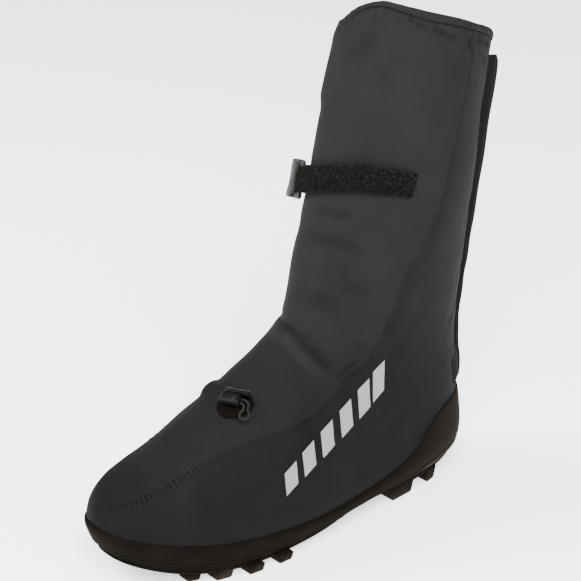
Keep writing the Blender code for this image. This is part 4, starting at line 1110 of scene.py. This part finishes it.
def makeTunnel():
    steps, across = tunnel["steps"], np.linspace(-1.0, 1.0, tunnel["across"])
    turns = np.linspace(tunnel["path"][0][0], tunnel["path"][-1][0], steps)
    middle, probe = rowsBy(tunnel["path"], turns), last["levelProbe"]
    along = lengthAlong(lastPoint(turns, middle)[0])[:, None]
    full = np.sqrt(np.sin(np.pi * np.linspace(tunnel["fade"], 1 - tunnel["fade"], steps)))[:, None]
    climb = lastPoint(turns, middle + probe)[0] - lastPoint(turns, middle - probe)[0]
    perLevel = np.linalg.norm(climb, axis=1) / (2 * probe)
    level = middle[:, None] + across * (0.5 * tunnel["wide"] / perLevel)[:, None]
    turn = np.broadcast_to(turns[:, None], level.shape)
    hump = np.clip(1 - (across / tunnel["hump"]) ** 2, 0.0, 1.0) ** tunnel["humpPower"]
    wrinkle = tunnel["gather"] * np.sin(2 * np.pi * along / tunnel["pitch"] + waves(tunnel["drift"], along))
    top = tunnel["edge"] + (tunnel["crown"] - tunnel["edge"]) * full * hump
    top = top * np.sqrt(np.clip(1 - across ** tunnel["square"], 0.0, 1.0))
    top = top + wrinkle * np.sqrt(np.abs(hump - tunnel["valley"])) * full
    over = skin(turn, level, tunnel["lift"] + top * bothEnds(along, along[-1], tunnel["ends"]))
    under = skin(turn, level, tunnel["sunk"])
    points = np.concatenate([over, under[:, ::-1]], axis=1)
    # painted shade, as on the upper around the tunnel
    addPiece("instepTunnel", tubes([points]), finishes["shaft"], ["instep_tunnel"],
             woven=points, marks={"paintedShading": np.full(points.shape[:2], tunnel["paintedShading"])},
             sharp=tunnel["sharp"])


def makePatch():
    angle = 2 * np.pi * np.arange(patch["steps"])[:, None] / patch["steps"]
    around, up = lastAxes(patch["turn"], patch["level"])[:2]
    rings = []
    for share, lift in patch["rings"]:
        move = patch["radius"] * share * (np.cos(angle) * around + np.sin(angle) * up)
        turn, level = stepOnLast(patch["turn"], patch["level"], move)
        rings.append(skin(turn, level, patch["gap"] + lift * patch["thick"]))
    points = np.array(rings)
    addPiece("cordPatch", tubes([points]), finishes["tab"], ["cord_patch"], woven=points)


def lockAxes():   # middle of the lock's seat, and its across, down and lift directions
    around, up, outward = lastAxes(lock["turn"], lock["level"])
    seat = lastPoint(lock["turn"], lock["level"])[0] + outward * (2 * patch["gap"] + patch["thick"])
    return seat, np.array([around, -up, outward])


def roundBlock(name, size, middle, finish, node, ribs=()):
    # rounded bar along the lock's length, with shallow grip grooves where ribs are named
    seat, axes = lockAxes()
    long, deep, high = size
    soft = lock["soft"] * min(deep, high)
    rows = [(-0.5 * long + soft * step, grow) for step, grow in lock["ends"]]
    rows += [(rib + step, grow) for rib in ribs for step, grow in lock["groove"]]
    rows += [(0.5 * long - soft * step, grow) for step, grow in lock["ends"][::-1]]
    rings = []
    for place, grow in rows:
        inset = soft * (1 - grow)
        ring = ovalProfile(0.5 * deep - inset, 0.5 * high - inset, lock["sides"], lock["power"])
        rings.append(seat + (np.insert(ring, 0, place, axis=1) + middle) @ axes)
    addPiece(name, tubes([np.array(rings)]), finish, [node], sharp=lock["sharp"])


def makeLock():
    deep, high = lock["size"][1:]
    thin, tall = lock["button"][1:]
    shift, middle = lock["buttonShift"], 0.5 * high
    above = 0.5 * (deep + thin) + patch["gap"]
    shineAt = (shift, lock["shineIn"] - above - 0.5 * thin, middle + 0.5 * tall - lock["shineDown"])
    neckAt = (lock["neckShift"], -0.5 * deep - lock["neckOut"], middle)
    roundBlock("lockBarrel", lock["size"], (0.0, 0.0, middle), finishes["lock"], "cord_lock", lock["ribs"])
    roundBlock("lockButton", lock["button"], (shift, -above, middle), finishes["lock"], "lock_button")
    # painted highlight: a light strip along the top edge of the button
    roundBlock("buttonShine", lock["shine"], shineAt, finishes["bright"], "lock_button")
    roundBlock("lockNeck", lock["neck"], neckAt, finishes["lock"], "lock_button")


def makeCord():
    seat, axes = lockAxes()
    points = (seat + splined(cord["route"], cord["points"]) @ axes - boxMiddle) * mm
    curve = bpy.data.curves.new("drawcordLoop", "CURVE")
    curve.dimensions = "3D"
    curve.bevel_depth = 0.5 * cord["thick"] * mm
    curve.bevel_resolution = cord["sides"]
    curve.use_fill_caps = True
    spline = curve.splines.new("POLY")
    spline.points.add(len(points) - 1)
    for knot, point in zip(spline.points, points):
        knot.co = (*point, 1.0)
    curve.materials.append(finishes["cord"])
    piece = rideRoot("drawcordLoop", curve, ["drawcord_loop"])
    length = float(lengthAlong(points)[-1])
    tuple(points[0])
    print("cord", round(length, 4))


makeTunnel()
makePatch()
makeLock()
makeCord()


# sewing: short threads laid along a line, dipping at both ends, mm
sewing = {
    "long": 2.9, "gap": 0.9, "thick": 0.24, "lift": 0.05, "start": 0.4, "rise": 1.3, "sunk": 0.9, "sides": 6,
    "power": 2.0, "arc": (0.0, 0.55, 0.9, 1.0, 0.9, 0.55, 0.0),
    "seam": {"long": 2.3, "gap": 1.0, "thick": 0.16}, "seamSteps": 260, "seamShift": 1.5,
    "hem": {"thick": 0.18}, "hemSteps": 400, "hemTurn": 6.0, "hemDrop": 0.006,
    "zigzag": {"thick": 0.3, "lift": 0.5 * strap["thick"] + 0.45}, "zigzagTurns": (47.0, 53.0),
    "zigzagLegs": 4, "legSteps": 6, "legReach": 0.40,
}


def threadsAlong(line, normals, spec):
    look = {**sewing, **spec}
    along = lengthAlong(line)
    arc = np.array(look["arc"])[:, None]
    threads = []
    start = look["start"] * look["gap"]
    while start + look["long"] < along[-1]:
        at = start + look["long"] * np.linspace(0.0, 1.0, len(arc))
        path, normal = (np.stack([np.interp(at, along, column) for column in table.T], axis=1)
                        for table in (line, normals))
        normal = unit(normal)
        path = path + normal * (look["lift"] + look["thick"] * (arc * look["rise"] - look["sunk"]))
        profile = ovalProfile(look["thick"], look["thick"], look["sides"], look["power"])
        threads.append(sweep(path, profile, np.cross(normal, path[-1] - path[0])))
        start += look["long"] + look["gap"]
    return threads


def lineOnCloth(path, steps, shift=0.0):
    # a path of turns and levels laid on the cloth, moved sideways by shift mm
    turn, level = splined(path, steps).T
    if shift:
        heading = unit(np.gradient(lastPoint(turn, level)[0], axis=0))
        turn, level = stepOnLast(turn, level, np.cross(lastAxes(turn, level)[2], heading) * shift)
    return clothPoint(turn, level, 0.0), lastAxes(turn, level)[2]


def zigzagLines():
    steps, legs = sewing["legSteps"], sewing["zigzagLegs"]
    turns = np.linspace(*sewing["zigzagTurns"], legs * steps + 1)
    lifts = np.full(len(turns), strap["gap"] + 0.5 * strap["thick"])
    middle, up = webbingFrame(np.stack([turns, lifts], axis=1))
    normal = lastAxes(turns, strapLevel(turns))[2]
    share = np.linspace(-1.0, 1.0, steps + 1)[:, None] * sewing["legReach"] * strap["width"]
    for leg in range(legs):
        part = slice(leg * steps, leg * steps + steps + 1)
        yield middle[part] + up[part] * share * (-1) ** leg, normal[part]


def makeSewing(name, lines, spec):
    threads = [thread for line in lines for thread in threadsAlong(*line, spec)]
    addPiece(name, tubes(threads), finishes["thread"], change=None)


seamLines = [lineOnCloth(path, sewing["seamSteps"], shift) for path, shift in (
    (seam["path"], sewing["seamShift"]), (mirrored(seam["path"]), -sewing["seamShift"]))]
hemLine = [(turn, hemAt(turn) - sewing["hemDrop"]) for turn in np.arange(-180.0, 181.0, sewing["hemTurn"])]
makeSewing("seamStitches", seamLines, sewing["seam"])
makeSewing("hemStitches", [lineOnCloth(hemLine, sewing["hemSteps"])], sewing["hem"])
makeSewing("strapZigzag", zigzagLines(), sewing["zigzag"])
print("sewing made")


# reflective print on the outer side: a row of slanted bars along a rising line
mark = {"from": (82.5, 2.16), "to": (88.6, 4.26), "bars": 6, "bar": 12.0, "gap": 4.2, "widths": (12.5, 18.5),
        "slant": 0.62, "steps": 14, "lift": 0.10, "thick": 0.12, "walk": 6, "sharp": 50.0}


def makePrint():
    first, final = np.array(mark["from"]), np.array(mark["to"])
    rising = lastPoint(*final)[0] - lastPoint(*first)[0]
    length = mark["bars"] * mark["bar"] + (mark["bars"] - 1) * mark["gap"]
    grid = np.linspace(-0.5, 0.5, mark["steps"])
    sheets = []
    for i in range(mark["bars"]):
        middle = (0.5 * mark["bar"] + i * (mark["bar"] + mark["gap"])) / length
        turn, level = first + (final - first) * middle
        normal = lastAxes(turn, level)[2]
        heading = squared(rising, normal)
        wide = mark["widths"][0] + (mark["widths"][1] - mark["widths"][0]) * middle
        b, a = np.meshgrid(grid * wide, grid * mark["bar"], indexing="ij")
        move = np.cross(normal, heading) * b[..., None] + heading * (a + mark["slant"] * b)[..., None]
        for part in range(mark["walk"]):
            turn, level = stepOnLast(turn, level, move / mark["walk"])
        over, under = (clothPoint(turn, level, mark["lift"] + way * mark["thick"]) for way in (1.0, -1.0))
        sheets.append(np.concatenate([over, under[:, ::-1]], axis=1))
    addPiece("sideBars", tubes(sheets), finishes["print"], sharp=mark["sharp"])


makePrint()
print("print made")


# camera as fitted to the photo, distances in the tables' frame, mm
view = {"azimuth": 48.9, "elevation": 23.6, "roll": 0.2, "distance": 1300.0, "target": (0.0, 0.0, 170.0),
        "focal": 1981.5, "pixels": 581.0, "shift": (-0.57, -3.42), "sensor": 36.0, "clip": 0.01}
# studio: pale glowing floor, soft boxes set by angle from the camera, even sky
studio = {"floor": 20.0, "floorDrop": 0.0004, "floorTones": ((0.90, 0.90, 0.90), (0.93, 0.93, 0.93)),
          "cloudScale": 1.7, "cloudDetail": 2.0, "cloudRange": (0.3, 0.7), "rough": 0.9, "gloss": 0.1,
          "glow": 1.4, "sky": 0.25, "skyColour": (1.0, 1.0, 1.0, 1.0),
          # turn from the camera, elevation, distance mm, size m, power W
          "boxes": [("keyBox", -100.0, 38.0, 1700.0, 1.2, 68.0), ("sideBox", 44.0, 32.0, 1700.0, 1.2, 14.0),
                    ("frontBox", 7.0, 46.0, 1700.0, 1.2, 113.0), ("backBox", 170.0, 40.0, 1800.0, 1.4, 10.0)]}


def placed(item, distance, azimuth, elevation, roll=0.0):
    az, el, turn = (math.radians(v) for v in (azimuth, elevation, roll))
    back = np.array([math.sin(az) * math.cos(el), -math.cos(az) * math.cos(el), math.sin(el)])
    right = np.array([math.cos(az), math.sin(az), 0.0])
    up = np.cross(back, right)
    right, up = math.cos(turn) * right + math.sin(turn) * up, math.cos(turn) * up - math.sin(turn) * right
    matrix = Matrix(np.array([right, up, back]).T.tolist()).to_4x4()
    matrix.translation = Vector((np.array(view["target"]) - boxMiddle + back * distance) * mm)
    item.matrix_world = matrix


def makeCamera():
    lens = bpy.data.cameras.new("photoCamera")
    lens.sensor_width = view["sensor"]
    lens.lens = view["focal"] * view["sensor"] / view["pixels"]
    lens.shift_x = -view["shift"][0] / view["pixels"]
    lens.shift_y = view["shift"][1] / view["pixels"]
    lens.clip_start = view["clip"]
    camera = linked("photoCamera", lens)
    placed(camera, view["distance"], view["azimuth"], view["elevation"], view["roll"])
    bpy.context.scene.camera = camera


def makeStudio():
    finish, wire, place = newFinish("paleFloor")
    cloud = noiseAt(wire, place, studio["cloudScale"], studio["cloudDetail"])
    colour = mixColour(wire, cloud.clip(*studio["cloudRange"]), *studio["floorTones"])
    joinShader(finish, {"Base Color": colour, "Emission Color": colour},
               {"Roughness": studio["rough"], "Specular IOR Level": studio["gloss"],
                "Emission Strength": studio["glow"]})
    mesh = bpy.data.meshes.new("floor")
    half = 0.5 * studio["floor"]
    corners = [(-half, -half, 0.0), (half, -half, 0.0), (half, half, 0.0), (-half, half, 0.0)]
    mesh.from_pydata(corners, [], [(0, 1, 2, 3)])
    mesh.materials.append(finish)
    floor = linked("floor", mesh)
    floor.location.z = -studio["floorDrop"]
    for name, turn, rise, distance, size, power in studio["boxes"]:
        lamp = bpy.data.lights.new(name, "AREA")
        lamp.shape = "DISK"
        lamp.size = size
        lamp.energy = power
        placed(linked(name, lamp), distance, view["azimuth"] + turn, rise)
    sky = bpy.data.worlds.new("evenSky")
    sky.use_nodes = True
    light = sky.node_tree.nodes["Background"]
    light.inputs["Color"].default_value = studio["skyColour"]
    light.inputs["Strength"].default_value = studio["sky"]
    bpy.context.scene.world = sky


makeCamera()
makeStudio()
